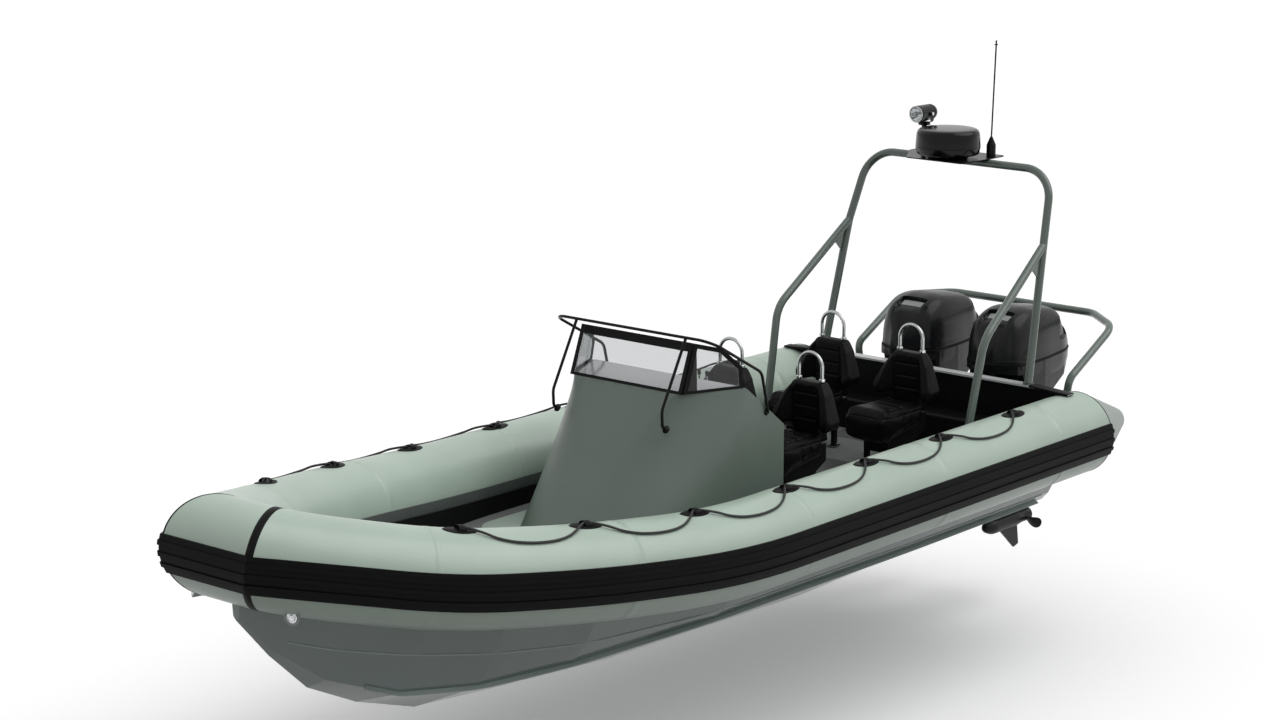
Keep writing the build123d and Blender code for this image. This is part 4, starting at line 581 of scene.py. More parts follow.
hull_gel = gelcoat("hull_gel", (0.205, 0.262, 0.250), roughness=0.12)
dress(hull_gel, "hull", "transom")
knuckle_line, chine_line = (rounded_route(line, 0.25, 5) for line in (hull_knuckle, hull_chine))
wedge = [(0.004, 0.022), (-0.030, -0.003), (-0.032, -0.009), (-0.028, -0.011), (0.010, -0.006), (0.004, 0.022)]
beads = [grid * hand for hand in both_hands
         for grid in (section_along(knuckle_line, ring(0.0075)), section_along(chine_line, wedge))]
# The paler gelcoat on the beads is a painted highlight along the knuckle and chine.
hull_beads = skin("hull_beads", beads, gelcoat("bead_gel_painted_highlight", (0.36, 0.43, 0.41), roughness=0.12), crease=35)

# ---------------------------------------------------------------- deck and console plinth
# The deck is a flat moulding with a pale gelcoat top. The plinth that carries the console is moulded with it.
# Non-skid panels with rounded corners are bonded on across it, where the crew stand.
dress(gelcoat("deck_gel", (0.21, 0.215, 0.215), roughness=0.22, ripple=0.0012), "deck")
dress(gelcoat("plinth_gel", (0.33, 0.41, 0.36), roughness=0.3), "console_plinth")


def moulded(name, colour, roughness=0.5, grain=900.0, depth=0.0002, spread=0.12, shine=0.18):
    """Textured moulding: fine pitted grain with colour and gloss that vary slowly."""
    material, tree, place = bare_material(name)
    drift = mottle(tree, place["Object"], 3.0, 5.0)
    pits = mottle(tree, place["Object"], grain, 2.0)
    return finished(material, {"Base Color": two_tones(tree, drift, colour, (1 - spread, 1 + spread), (0.3, 0.7)),
                               "Roughness": worn(tree, drift, roughness * 0.85, min(1.0, roughness * 1.2)),
                               "Normal": bumps(tree, pits, 0.6, depth), "Specular IOR Level": shine})


def flat_panel(corners, low, high):
    """A level plate with rounded corners: its outline shrunk to a middle point on top, and turned down at the rim."""
    outline = rounded_route(np.pad(np.asarray(corners + corners[:1], float), ((0, 0), (0, 1))), 0.12, 6)[:, :2]
    middle = outline.mean(0)
    rows = []
    for share, z in ((0.0, low), (1.0, low), (1.0, high - 0.0015), (0.988, high), (0.6, high), (0.0, high)):
        spot = middle + (outline - middle) * share
        rows.append(np.concatenate([spot, np.full((len(spot), 1), z)], 1))
    return np.stack(rows)


def oblong(a, b, c, d):
    """The corners of an oblong from a to b and from c to d."""
    return [(a, c), (b, c), (b, d), (a, d)]


tread = moulded("deck_tread", (0.085, 0.088, 0.087), roughness=0.75, grain=650.0, depth=0.0009, spread=0.10)
tread_spans = ((-3.00, -2.72), (-2.16, -1.72), (-1.04, -0.74))
tread_half_width, tread_low, tread_high = 0.52, 0.3248, 0.3275
treads = [flat_panel(oblong(a, b, -tread_half_width, tread_half_width), tread_low, tread_high) for a, b in tread_spans]
tread_panels = skin("deck_treads", treads, tread, crease=40)

# ---------------------------------------------------------------- black mouldings inside
# Liners, locker, seat bases and bulkhead are black plastic sheet and mouldings with a fine leathery grain.
# The two bands along the tubes are grey rubbing tape, glued on at the height of a knee.
black = moulded("black_moulding", (0.0040, 0.0042, 0.0043), roughness=0.42, shine=0.12)
dress(black, "side_liners", "stern_locker", "seat_bases", "bulkhead", "helm_column", "screen_frame", "steering_wheel",
      "throttle")
dress(moulded("inner_band", (0.10, 0.115, 0.108), roughness=0.5), "inner_bands")

# ---------------------------------------------------------------- bulkhead cap
# A pale moulded rail is screwed down along the bulkhead. Black end pieces taper from it to the tubes.
dress(gelcoat("cap_gel", (0.55, 0.56, 0.57), roughness=0.3), "bulkhead_cap")
tip_route = np.array([(-3.218, y, z) for y, z in ((0.955, 0.8422), (0.960, 0.8422), (1.120, 0.8326), (1.2862, 0.8225))])
tip_section = [(-0.0430, -0.012), (0.0430, -0.012), (0.0430, 0.0012), (0.0395, 0.0028), (-0.0395, 0.0028),
               (-0.0430, 0.0012), (-0.0430, -0.012)]
cap_tips = skin("cap_tips", [section_along(tip_route, tip_section) * hand for hand in both_hands], black,
                crease=30)

# ---------------------------------------------------------------- seat hoops and feet
# Bent stainless tube, polished, each end in a flange on the seat's back.
# Each base stands on four feet with a bright plate and a bolt through each.
steel = bright_metal("stainless", (0.52, 0.53, 0.53))
dress(steel, "seat_hoops")
seat_centres = [(x, y) for x in (-1.333, -2.542) for y in (0.352, -0.352)]
base_forward = 0.244
foot_reach, foot_half_gap, foot_top = 0.159, 0.088, 0.3335
foot_half_length, foot_half_width, foot_thick = 0.045, 0.032, 0.005
bolt_step = 0.032
bolt_profile = [(0.0, -0.001), (0.0085, -0.001), (0.0085, 0.005), (0.006, 0.0075), (0.0, 0.0085)]
hoop_half_span, flange_z = 0.0995, 1.1260
flange_profile = [(0.0, 0.0), (0.0215, 0.0), (0.0215, 0.0125), (0.0190, 0.0150), (0.0140, 0.0165), (0.0, 0.0165)]


def turned_about_z(middle, profile, segments=48):
    """A profile of radius and height turned about the upright line through the middle."""
    radius, rise = np.asarray(profile, float).T[:, :, None]
    turn = np.linspace(0.0, 2 * math.pi, segments + 1)[None, :]
    return middle + np.stack([radius * np.cos(turn), radius * np.sin(turn), rise + 0 * turn], -1)


foot_grids = []
for x, y in seat_centres:
    for a, b in ((1, 1), (1, -1), (-1, 1), (-1, -1)):
        u, v = x + base_forward + a * foot_reach, y + b * foot_half_gap
        foot_grids.append(flat_panel(oblong(u - foot_half_length, u + foot_half_length, v - foot_half_width,
                                            v + foot_half_width), foot_top, foot_top + foot_thick))
        foot_grids.append(turned_about_z((u + a * bolt_step, v, foot_top + foot_thick), bolt_profile, 13))
foot_grids += [turned_about_z((x, y + side * hoop_half_span, flange_z), flange_profile, 32)
               for x, y in seat_centres for side in (1, -1)]
seat_feet = skin("seat_feet", foot_grids, valve_steel, crease=35)

# ---------------------------------------------------------------- arch, guard rail and gear
# Bent alloy tube, welded, then painted the colour of the boat. The gear and its plate are black.
dress(gelcoat("arch_paint", (0.115, 0.150, 0.130), roughness=0.20), "arch_hoop", "arch_brace_port",
      "arch_brace_starboard", "guard_rail")
black_paint = moulded("black_paint", (0.005, 0.005, 0.0052), roughness=0.24, shine=0.14)
dress(black_paint, "screen_rail", "light_post", "antenna", "arch_plate", "clamp_bracket_port",
      "clamp_bracket_starboard", "swivel_bracket_port", "swivel_bracket_starboard")
radome_foot = (-3.472, 0.0, 2.3927)
dome_profile = [(0.0, 0.0), (0.148, 0.0), (0.150, 0.002), (0.150, 0.027), (0.222, 0.028), (0.229, 0.031),
                (0.2345, 0.040), (0.2425, 0.080), (0.2425, 0.084), (0.2400, 0.0855), (0.2400, 0.0885), (0.2425, 0.090),
                (0.2405, 0.120), (0.2370, 0.170), (0.2340, 0.187), (0.2270, 0.201), (0.2160, 0.211), (0.2010, 0.216),
                (0.150, 0.2180), (0.080, 0.2194), (0.0, 0.2198)]
radome_gloss = moulded("radome_gloss", (0.004, 0.004, 0.0042), roughness=0.12, depth=0.00002, shine=0.22)
radome_cover = skin("radome_cover", [turned_about_z(radome_foot, dome_profile, 96)], radome_gloss, crease=50)
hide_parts("radome")

# ---------------------------------------------------------------- windscreen
# Clear plastic sheet, smoked grey, which the black frame holds along its edges over the console's front.
# It lets lamplight through, greys what is behind it and mirrors a little.


def tinted_glass(name, colour):
    """Clear sheet that mirrors a little and greys what is behind; lamps shine straight through."""
    material = bpy.data.materials.new(name)
    material.use_nodes = True
    tree = material.node_tree
    sheet = feed(tree, tree.nodes["Principled BSDF"], {"Base Color": (*colour, 1), "Transmission Weight": 1.0,
                                                       "Roughness": 0.02, "IOR": 1.45})
    open_way = add(tree, "BsdfTransparent", {"Color": (*colour, 1)})
    either = add(tree, "MixShader", {"Fac": add(tree, "LightPath", {}).outputs["Is Shadow Ray"],
                                     1: sheet.outputs[0], 2: open_way.outputs[0]})
    feed(tree, tree.nodes["Material Output"], {"Surface": either.outputs[0]})
    return material


dress(tinted_glass("screen_tint", (0.62, 0.63, 0.64)), "screen_glass")

# ---------------------------------------------------------------- console
# One glass-fibre moulding stands on the plinth: it leans back at the front and rolls round into its sides.
# A pale panel lies on its level top, behind the screen, and the sloping helm panel is set in below that.
console_foot, console_top, console_aft, console_half_width = 0.359, 1.318, -0.615, 0.672
front_foot_x, front_top_x, front_half_width = 0.860, 0.242, 0.494
side_foot_x, side_top_x = 0.620, -0.200
brow_x, dash_run, dash_drop = -0.200, 0.415, 0.322


def console_shell():
    """Level outlines from foot to top. Each starts on the centreline ahead, crosses the leaning front, turns the
    corner along a cubic curve whose two handles are the front's and the side's own lines, and runs aft."""
    rise = np.linspace(0.0, 1.0, 40)[:, None]
    z = console_foot + (console_top - console_foot) * rise
    front_x = front_foot_x + (front_top_x - front_foot_x) * rise
    front_y = front_half_width + (console_half_width - front_half_width) * 0.06 * (1 - rise)
    side_x = side_foot_x + (side_top_x - side_foot_x) * rise
    ease = 0.80 - 0.66 * rise ** 2.2
    start_y = front_y * (1 - ease)
    end_x = side_x + (console_aft - side_x) * ease * 0.55
    t = np.linspace(0.0, 1.0, 34)[None, :]
    a, b, c, d = (1 - t) ** 3, 3 * t * (1 - t) ** 2, 3 * t * t * (1 - t), t ** 3
    x_turn = a * front_x + b * front_x + c * side_x + d * end_x
    y_turn = a * start_y + b * front_y + c * console_half_width + d * console_half_width
    lead = np.linspace(0.0, 1.0, 8)[None, :-1]
    tail = np.linspace(0.0, 1.0, 12)[None, 1:]
    x = np.concatenate([front_x + 0 * lead, x_turn, end_x + (console_aft - end_x) * tail], axis=1)
    y = np.concatenate([start_y * lead, y_turn, console_half_width + 0 * tail + 0 * rise], axis=1)
    return x, y, z + 0 * x


def cut_by_dash(x, y, z):
    """Nothing stands above the plane that falls from the brow at the top to the lip over the aft face."""
    return np.minimum(z, console_top + np.minimum(0.0, (x - brow_x) * dash_drop / dash_run))


x, y, z = console_shell()
z = cut_by_dash(x, y, z)
half = np.stack([x, y, z], -1)
walls = np.concatenate([half[:, ::-1] * mirrored, half[:, 1:]], axis=1)
rim = walls[-1]
crossing = np.linspace(0.0, 1.0, 25)[None, :, None]
half_count = rim.shape[0] // 2
lid = rim[:half_count + 1][::-1][:, None, :] * (1 - crossing) + rim[half_count:][:, None, :] * crossing
aft_face = walls[:, 0][:, None, :] * (1 - crossing) + walls[:, -1][:, None, :] * crossing
console_gel = gelcoat("console_gel", (0.135, 0.172, 0.148), roughness=0.36, coat=0.1)
console = skin("console_shell", [walls, lid, aft_face], console_gel, crease=34)
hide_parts("console")

# ---------------------------------------------------------------- screen corners and dash lid
# Cut alloy webs stiffen the two front corners of the screen from inside.
# The pale lid behind the glass is a loose moulding over the wiring, screwed at its edges.
screen_foot = np.array((0.228, 0.480, 1.3195))
screen_tail = np.array((-0.186, 0.658, 1.3195))
screen_lean = np.array((-0.123, 0.0, 0.321))
along_side = unit(screen_tail - screen_foot)
web_edge = np.stack([screen_foot + along_side * 0.022, screen_foot + along_side * 0.110,
                     screen_foot + along_side * 0.030 + screen_lean * 0.86, screen_foot + along_side * 0.022])
web_out = unit(np.cross(along_side, screen_lean)) * 0.0025
web = np.stack([np.repeat((web_edge[:3].mean(0) - web_out)[None], 4, 0), web_edge - web_out, web_edge + web_out,
                np.repeat((web_edge[:3].mean(0) + web_out)[None], 4, 0)])
screen_webs = skin("screen_webs", [web * hand for hand in both_hands], black_paint, crease=30)

lid_front, lid_inset = np.linspace(0.196, -0.188, 30), 0.040
rim_line = rim[half_count:]
rim_order = np.argsort(-rim_line[:, 0], kind="stable")
lid_half = np.interp(-lid_front, -rim_line[rim_order, 0], rim_line[rim_order, 1]) - lid_inset
lid_share = np.concatenate([[-1.0, -1.0], np.linspace(-1.0, 1.0, 15), [1.0, 1.0]])
lid_rise = np.concatenate([[-0.002, 0.0045], np.full(15, 0.006), [0.0045, -0.002]])
lid_rows = np.stack([np.broadcast_to(lid_front[:, None], (30, 19)), lid_half[:, None] * lid_share[None, :],
                     console_top + np.broadcast_to(lid_rise[None, :], (30, 19))], -1)
lid_ends = [lid_rows[i] * (1, 1, 0) + (step, 0, console_top - 0.002) for i, step in ((0, 0.001), (-1, -0.001))]
lid_grid = np.concatenate([lid_ends[0][None], lid_rows, lid_ends[1][None]])
lid_gel = gelcoat("lid_gel", (0.42, 0.43, 0.435), roughness=0.16, coat=0.5)
dash_lid = skin("dash_lid", [lid_grid], lid_gel, crease=35)

# ---------------------------------------------------------------- rail feet
# Each end of the rail round the screen is welded to a domed foot, screwed to the console.
rail_feet_spots = [
    ((0.3746, 0.470, 1.112), (0.8412, 0.0, 0.5407),
     [(0.0, 0.001), (0.027, 0.001), (0.027, 0.005), (0.0235, 0.010), (0.0165, 0.0165), (0.012, 0.024), (0.0, 0.024)]),
    ((-0.420, 0.6725, 1.116), (0.0, 1.0, 0.0),
     [(0.0, 0.0005), (0.024, 0.0005), (0.024, 0.004), (0.018, 0.008), (0.0, 0.009)])]


def turned_about(middle, way, profile, segments=32):
    """A profile of radius and height turned about any line through the middle."""
    way = unit(np.asarray(way, float))
    side = unit(np.cross(way, (0.31, 0.17, 0.93)))
    other = np.cross(way, side)
    radius, height = np.asarray(profile, float).T[:, :, None]
    turn = np.linspace(0.0, 2 * math.pi, segments + 1)[None, :]
    spoke = side * np.cos(turn)[..., None] + other * np.sin(turn)[..., None]
    return np.asarray(middle, float) + radius[..., None] * spoke + (height + 0 * turn)[..., None] * way


rail_feet_grids = [turned_about(spot, way, profile) * hand for spot, way, profile in rail_feet_spots
                   for hand in both_hands]
rail_feet = skin("rail_feet", rail_feet_grids, black_paint, crease=40)

# ---------------------------------------------------------------- helm panel and throttle
# A dark panel let into the sloping dash carries four dials, a dark display and six rocker switches, all plain.
# The throttle is a cast box with two polished cranked levers and black grips.
dash_down = unit(np.array((-dash_run, 0.0, -dash_drop)))
dash_out = np.array((dash_down[2], 0.0, -dash_down[0]))


def on_dash(grid):
    """From dash measures to the boat's: across to port, down the slope from the brow, and out from it."""
    return ((brow_x, 0.0, console_top) + grid[..., :1] * np.array((0.0, 1.0, 0.0)) + grid[..., 1:2] * dash_down
            + grid[..., 2:] * dash_out)


def plate_on_dash(u, v, half_u, half_v, low, high):
    """A rounded plate on the dash about a middle."""
    return on_dash(flat_panel(oblong(u - half_u, u + half_u, v - half_v, v + half_v), low, high))


panel = plate_on_dash(0.0, 0.185, 0.56, 0.135, 0.0004, 0.004)
dial_spots = [(-0.44, 0.13), (-0.30, 0.13), (-0.16, 0.13), (-0.37, 0.24)]
dial_foot, needle_low, needle_high = 0.004, 0.0072, 0.0082
dial_profile = [(0.0, 0.0), (0.042, 0.0), (0.042, 0.006), (0.037, 0.0065), (0.036, 0.003), (0.0, 0.003)]
bezel_profile = [(0.0385, 0.0), (0.0455, 0.0), (0.0455, 0.006), (0.043, 0.0085), (0.039, 0.0085), (0.0385, 0.006),
                 (0.0385, 0.0)]
dials, bezels = ([on_dash(turned_about_z((u, v, dial_foot), profile)) for u, v in dial_spots]
                 for profile in (dial_profile, bezel_profile))
needles = [on_dash(flat_panel([(u - 0.002, v - 0.029), (u + 0.002, v - 0.029), (u + 0.003, v + 0.008),
                               (u - 0.003, v + 0.008)], needle_low, needle_high)) for u, v in dial_spots]
display = plate_on_dash(0.27, 0.155, 0.150, 0.088, 0.003, 0.016)
glass_face = plate_on_dash(0.27, 0.155, 0.134, 0.072, 0.0155, 0.0168)
rockers = [plate_on_dash(u, 0.285, 0.013, 0.018, 0.003, 0.012) for u in np.linspace(0.10, 0.44, 6)]
helm_panel = skin("helm_panel", [panel, display] + dials, black, crease=40)
helm_screen = skin("helm_screen", [glass_face], radome_gloss, crease=40)
helm_switches = skin("helm_switches", rockers, black_paint, crease=40)
helm_bezels = skin("helm_bezels", bezels + needles, steel, crease=30)

lever_v = 0.451
hub_profile = [(0.0, 0.0), (0.020, 0.0), (0.020, 0.008), (0.017, 0.0105), (0.0, 0.0105)]
lever_route = [(0.0605, 0.446, 0.038), (0.0605, 0.388, 0.112), (0.034, 0.382, 0.138), (0.034, 0.335, 0.190)]
grip_route = [(0.034, 0.352, 0.171), (0.034, 0.350, 0.174), (0.034, 0.332, 0.193), (0.034, 0.330, 0.195)]
lever_up = (0.3, 1.0, 0.2)
lever_box = plate_on_dash(0.0, lever_v, 0.055, 0.065, 0.0008, 0.058)
lever_hubs, lever_arms, lever_grips = [], [], []
for side in (1, -1):
    lever_hubs.append(on_dash(turned_about((side * 0.0545, lever_v, 0.036), (side, 0.0, 0.0), hub_profile)))
    arm_line, grip_line = (on_dash(np.array(route) * (side, 1, 1)) for route in (lever_route, grip_route))
    lever_arms.append(section_along(rounded_route(arm_line, 0.35, 7), ring(0.0062), up=lever_up))
    lever_grips.append(section_along(grip_line, ring(0.012), up=lever_up))
lever_chrome = bright_metal("lever_chrome", (0.70, 0.71, 0.72), roughness=0.08)
throttle_box = skin("throttle_box", [lever_box] + lever_grips, black, crease=35)
throttle_levers = skin("throttle_levers", lever_arms + lever_hubs, lever_chrome, crease=40)
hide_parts("throttle")

# ---------------------------------------------------------------- engine cowls
# Each outboard's powerhead sits under a glossy moulded cowl that latches to the tray below on a rubber seal.
# It has a hand pocket in the sloping front, an air intake each side at the back and a rolled rim. A pale grey plate on
# the pocket's floor is a painted highlight where that floor catches the light.
engine_y = 0.395
cowl_split = 0.873
cowl_front, cowl_aft = -3.4312, -4.4333
cowl_side_view = [(-3.431, 0.873), (-3.452, 1.040), (-3.545, 1.208), (-3.738, 1.281), (-4.010, 1.248), (-4.222, 1.205),
                  (-4.345, 1.055), (-4.405, 0.960), (-4.433, 0.873)]
cowl_top_view = [(-3.431, 0.0), (-3.446, 0.072), (-3.474, 0.115), (-3.512, 0.186), (-3.560, 0.234), (-3.660, 0.249),
                 (-3.900, 0.243), (-4.250, 0.196), (-4.400, 0.130), (-4.433, 0.050), (-4.4335, 0.0)]
cowl_end_view = [(1.0, 0.0), (0.985, 0.34), (0.925, 0.62), (0.735, 0.93), (0.36, 1.0), (0.0, 1.0)]


def flat_route(outline, share=0.48, steps=10):
    """A rounded outline in two dimensions."""
    return rounded_route([(a, b, 0.0) for a, b in outline], share, steps)[:, :2]


def smooth_step(value):
    """From 0 to 1 with level ends."""
    value = np.clip(value, 0.0, 1.0)
    return value * value * (3 - 2 * value)


def cowl_shell():
    """Cross sections along the engine: half width from the plan, height from the side view and a rounded arch
    between them. The hand pocket, the side intakes and the rim are moved in or out along the section."""
    side_line, plan_line, end_line = (flat_route(v) for v in (cowl_side_view, cowl_top_view, cowl_end_view))
    span = np.linspace(0.0, math.pi, 110)
    stations = cowl_front - (1 - np.cos(span)) / 2 * (cowl_front - cowl_aft)
    pocket_edges = np.array((-3.655, -3.662, -3.668))
    stations = np.sort(np.concatenate([stations, pocket_edges, pocket_edges - 0.003]))[::-1]
    height = np.interp(-stations, -side_line[:, 0], side_line[:, 1]) - cowl_split
    half = np.interp(-stations, -plan_line[:, 0], plan_line[:, 1])
    walk = lengths_along(np.pad(end_line, ((0, 0), (0, 1))))
    share = np.linspace(0.0, 1.0, 64)
    arch_y = np.interp(share * walk[-1], walk, end_line[:, 0])
    arch_z = np.interp(share * walk[-1], walk, end_line[:, 1])
    arch_y = np.concatenate([arch_y, -arch_y[-2::-1]])
    arch_z = np.concatenate([arch_z, arch_z[-2::-1]])
    x = stations[:, None] + 0 * arch_y
    y = half[:, None] * arch_y
    z = cowl_split + height[:, None] * arch_z
    pocket = (smooth_step((0.118 - abs(y)) / 0.012) * smooth_step((-3.500 - x) / 0.10)
              * (x > -3.6605) * smooth_step((z - 1.02) / 0.08))
    z = z - 0.026 * pocket
    x = x - 0.010 * pocket
    intake = (smooth_step((x + 4.345) / 0.012) * smooth_step((-4.150 - x - (z - 1.0) * 0.55) / 0.012)
              * smooth_step((z - 0.975) / 0.010) * smooth_step((abs(arch_y) - 0.60) / 0.10) * (arch_z < 0.93))
    y = y * (1 - 0.13 * intake)
    rim = np.exp(-((z - 0.900) / 0.007) ** 2) * smooth_step((z - 0.874) / 0.004)
    y = y * (1 + 0.012 * rim)
    shell = np.stack([x, y, z], -1)
    base = shell.copy()
    base[..., 1] *= 0.96
    base[..., 2] = cowl_split + 0.001
    return np.concatenate([shell, base[:, ::-1], shell[:, :1]], axis=1)


def tray_shell():
    """The tray below the split: the cowl's plan, turned under in a rounded section down to a keel line that is
    shallow over the brackets and deep behind them. It stands 3 mm outside the casing that it covers."""
    plan_line = flat_route(cowl_top_view)
    stations = cowl_front - (1 - np.cos(np.linspace(0.0, math.pi, 90))) / 2 * (cowl_front - cowl_aft)
    half = np.interp(-stations, -plan_line[:, 0], plan_line[:, 1]) + 0.003
    keel = np.interp(-stations, (3.430, 3.600, 3.640, 4.020, 4.380, 4.434), (0.808, 0.797, 0.616, 0.596, 0.735, 0.796))
    turn = np.linspace(0.0, math.pi, 49)[None, :]
    y = half[:, None] * np.sign(np.cos(turn)) * abs(np.cos(turn)) ** 0.42
    z = cowl_split - 0.004 - (cowl_split - 0.004 - keel)[:, None] * np.sin(turn) ** 0.55
    under = np.stack([stations[:, None] + 0 * y, y, z], -1)
    return np.concatenate([under, under[:, :1]], axis=1)


def lacquer(name, colour, roughness=0.12, flake=0.0):
    """Sprayed two-pack paint under clear lacquer: slow drift of colour, faint orange peel and light dust."""
    material, tree, place = bare_material(name)
    drift, dust, peel = (mottle(tree, place["Object"], *sizes) for sizes in ((4.0, 4.0), (34.0, 8.0), (260.0, 1.0)))
    return finished(material, {"Base Color": two_tones(tree, drift, colour, (0.90, 1.12), (0.3, 0.7)),
                               "Roughness": worn(tree, dust, roughness * 0.7, roughness * 1.7),
                               "Normal": bumps(tree, peel, 0.25, 0.0001), "Metallic": flake,
                               "Specular IOR Level": 0.18, "Coat Weight": 0.08, "Coat Roughness": 0.05})


cowl_lacquer = lacquer("cowl_lacquer", (0.0085, 0.0090, 0.0102), roughness=0.26)
seal_rubber = rubber("seal_rubber", (0.008, 0.008, 0.008), roughness=0.55)
# Pale grey lacquer: the lamp's bulb, and the plate that paints the highlight in each cowl pocket.
pale_grey_and_pocket_highlight = lacquer("pale_grey_and_pocket_highlight", (0.30, 0.31, 0.31), roughness=0.22)
cowl_plan_line = flat_route(cowl_top_view)


def plan_belt(profile):
    """A profile of outward step and height carried round the cowl's plan."""
    line = np.concatenate([cowl_plan_line, cowl_plan_line[-2::-1] * (1, -1)])
    way = unit(np.gradient(line, axis=0))
    out = np.stack([-way[:, 1], way[:, 0]], -1)
    out = out * np.sign((out * (line - (-3.93, 0.0))).sum(1))[:, None]
    step, z = np.asarray(profile).T
    spot = line[:, None, :] + out[:, None, :] * step[None, :, None]
    return np.concatenate([spot, np.broadcast_to(z[None, :, None], spot.shape[:2] + (1,))], -1)


cowl_grid = cowl_shell()
tray_grid = tray_shell()
seal_grid = plan_belt([(-0.012, 0.866), (0.004, 0.867), (0.0065, 0.872), (0.0065, 0.882), (0.003, 0.887),
                       (-0.012, 0.888), (-0.012, 0.866)])
shell_columns = 127
# The pale grey plate laid on the pocket's floor is a painted highlight.
pocket_rows = (cowl_grid[:, 63, 0] < -3.585) & (cowl_grid[:, 63, 0] > -3.654)
pocket_skin = cowl_grid[pocket_rows][:, :shell_columns]
pocket_skin = pocket_skin[:, abs(pocket_skin[0, :, 1]) < 0.092]
highlight_grid = np.pad(pocket_skin + (0.0, 0.0, 0.0015), ((1, 1), (1, 1), (0, 0)), mode="edge")
for rim_part in (highlight_grid[0], highlight_grid[-1], highlight_grid[:, 0], highlight_grid[:, -1]):
    rim_part[..., 2] -= 0.004
for label, side in (("port", 1), ("starboard", -1)):
    place = np.array((0.0, side * engine_y, 0.0))
    body = "engine_" + label
    pocket_highlight_piece = skin("cowl_pocket_highlight_plate_" + label, [highlight_grid + place], pale_grey_and_pocket_highlight, body=body)
    cowl = skin("cowl_top_" + label, [cowl_grid + place], cowl_lacquer, crease=28, body=body)
    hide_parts("cowl_" + label)
    seal = skin("cowl_seal_" + label, [seal_grid + place], seal_rubber, body=body)
    tray = skin("cowl_tray_" + label, [tray_grid + place], cowl_lacquer, crease=50, body=body)

# ---------------------------------------------------------------- seats
# Each shock seat is a saddle of foam under black coated cloth, with a winged back and a steel grab hoop above it.
# The covers are pulled tight over the foam, welted round the sides and stitched down in channels where one sits.
cover_cap = 0.011
cover_pressure = 4.0
cover_frames = 20
foam_voxel = 0.009
foam_draw_in = 0.013
seat_reach = 0.65


def seat_cloth(name, colour):
    """Coated cloth with a pebbled grain, a soft sheen, and a little polish where it is sat on."""
    material, tree, place = bare_material(name)
    drift = mottle(tree, place["Object"], 7.0, 5.0)
    crumple = mottle(tree, place["Object"], 16.0, 3.0)
    pebble = add(tree, "TexVoronoi", {"Vector": place["Object"], "Scale": 420.0}).outputs["Distance"]
    fold = bumps(tree, crumple, 0.4, 0.004)
    return finished(material, {"Base Color": two_tones(tree, drift, colour, (0.8, 1.5), (0.3, 0.75)),
                               "Roughness": worn(tree, drift, 0.30, 0.50),
                               "Normal": bumps(tree, pebble, 0.35, 0.0004, fold), "Specular IOR Level": 0.09})


def mesh_points(mesh):
    """All of a mesh's points as one array."""
    points = np.empty(len(mesh.vertices) * 3)
    mesh.vertices.foreach_get("co", points)
    return points.reshape(-1, 3)


def first_seat_foam(name, node):
    """The front port seat's solid from the node, merged, drawn in by a few millimetres and remeshed evenly."""
    mesh = nodes[node].data.copy()
    foam = bmesh.new()
    foam.from_mesh(mesh)
    bmesh.ops.remove_doubles(foam, verts=foam.verts, dist=5e-5)
    x, y = seat_centres[0]
    others = [v for v in foam.verts if abs(v.co.x - x) > seat_reach or v.co.y * y < 0]
    bmesh.ops.delete(foam, geom=others, context="VERTS")
    bmesh.ops.recalc_face_normals(foam, faces=foam.faces)
    foam.to_mesh(mesh)
    foam.free()
    points = mesh_points(mesh)
    middle = (points.max(0) + points.min(0)) / 2
    size = points.max(0) - points.min(0)
    points = middle + (points - middle) * (1 - foam_draw_in / size)
    mesh.vertices.foreach_set("co", points.ravel())
    piece = placed(name, mesh)
    even = piece.modifiers.new("even", "REMESH")
    even.mode = "VOXEL"
    even.voxel_size = foam_voxel
    settle(piece)
    return piece


def settle(piece):
    """Makes the live modifiers part of the mesh."""
    bpy.context.view_layer.update()
    shaped = bpy.data.meshes.new_from_object(piece.evaluated_get(bpy.context.evaluated_depsgraph_get()))
    piece.modifiers.clear()
    piece.data = shaped


def pull_cover(piece):
    """Cloth under air pressure from inside, which crowns the flat faces; no point goes further than the cap."""
    start = mesh_points(piece.data)
    cloth = piece.modifiers.new("cover", "CLOTH")
    for setting, value in (("quality", 6), ("mass", 0.3), ("tension_stiffness", 18.0),
                           ("compression_stiffness", 18.0), ("shear_stiffness", 8.0), ("bending_stiffness", 0.6),
                           ("use_pressure", True), ("uniform_pressure_force", cover_pressure)):
        setattr(cloth.settings, setting, value)
    cloth.settings.effector_weights.gravity = 0.0
    for frame_number in range(1, cover_frames + 1):
        bpy.context.scene.frame_set(frame_number)
    pulled = mesh_points(piece.evaluated_get(bpy.context.evaluated_depsgraph_get()).data)
    piece.modifiers.clear()
    bpy.context.scene.frame_set(1)
    shift = pulled - start
    reach = np.linalg.norm(shift, axis=1, keepdims=True)
    piece.data.vertices.foreach_set("co", (start + shift * np.minimum(1.0, cover_cap / (reach + 1e-9))).ravel())
    smooth = piece.modifiers.new("smooth", "SMOOTH")
    smooth.factor = 0.5
    smooth.iterations = 3
    finer = piece.modifiers.new("finer", "SUBSURF")
    finer.levels = finer.render_levels = 1
    settle(piece)


def stitch(piece, lines):
    """Pulls the cover in along stitched lines: each line is a distance field, a depth, a width and where it runs."""
    mesh = piece.data
    points = mesh_points(mesh)
    normals = np.empty(len(mesh.vertices) * 3)
    mesh.vertices.foreach_get("normal", normals)
    normals = normals.reshape(-1, 3)
    x, y = seat_centres[0]
    local = points - (x, y, 0.0)
    sink = np.zeros(len(points))
    for distance, depth, width, where in lines:
        sink = np.maximum(sink, depth * np.exp(-(distance(local) / width) ** 2) * where(local, normals))
    mesh.vertices.foreach_set("co", (points - normals * sink[:, None]).ravel())
    mesh.update()


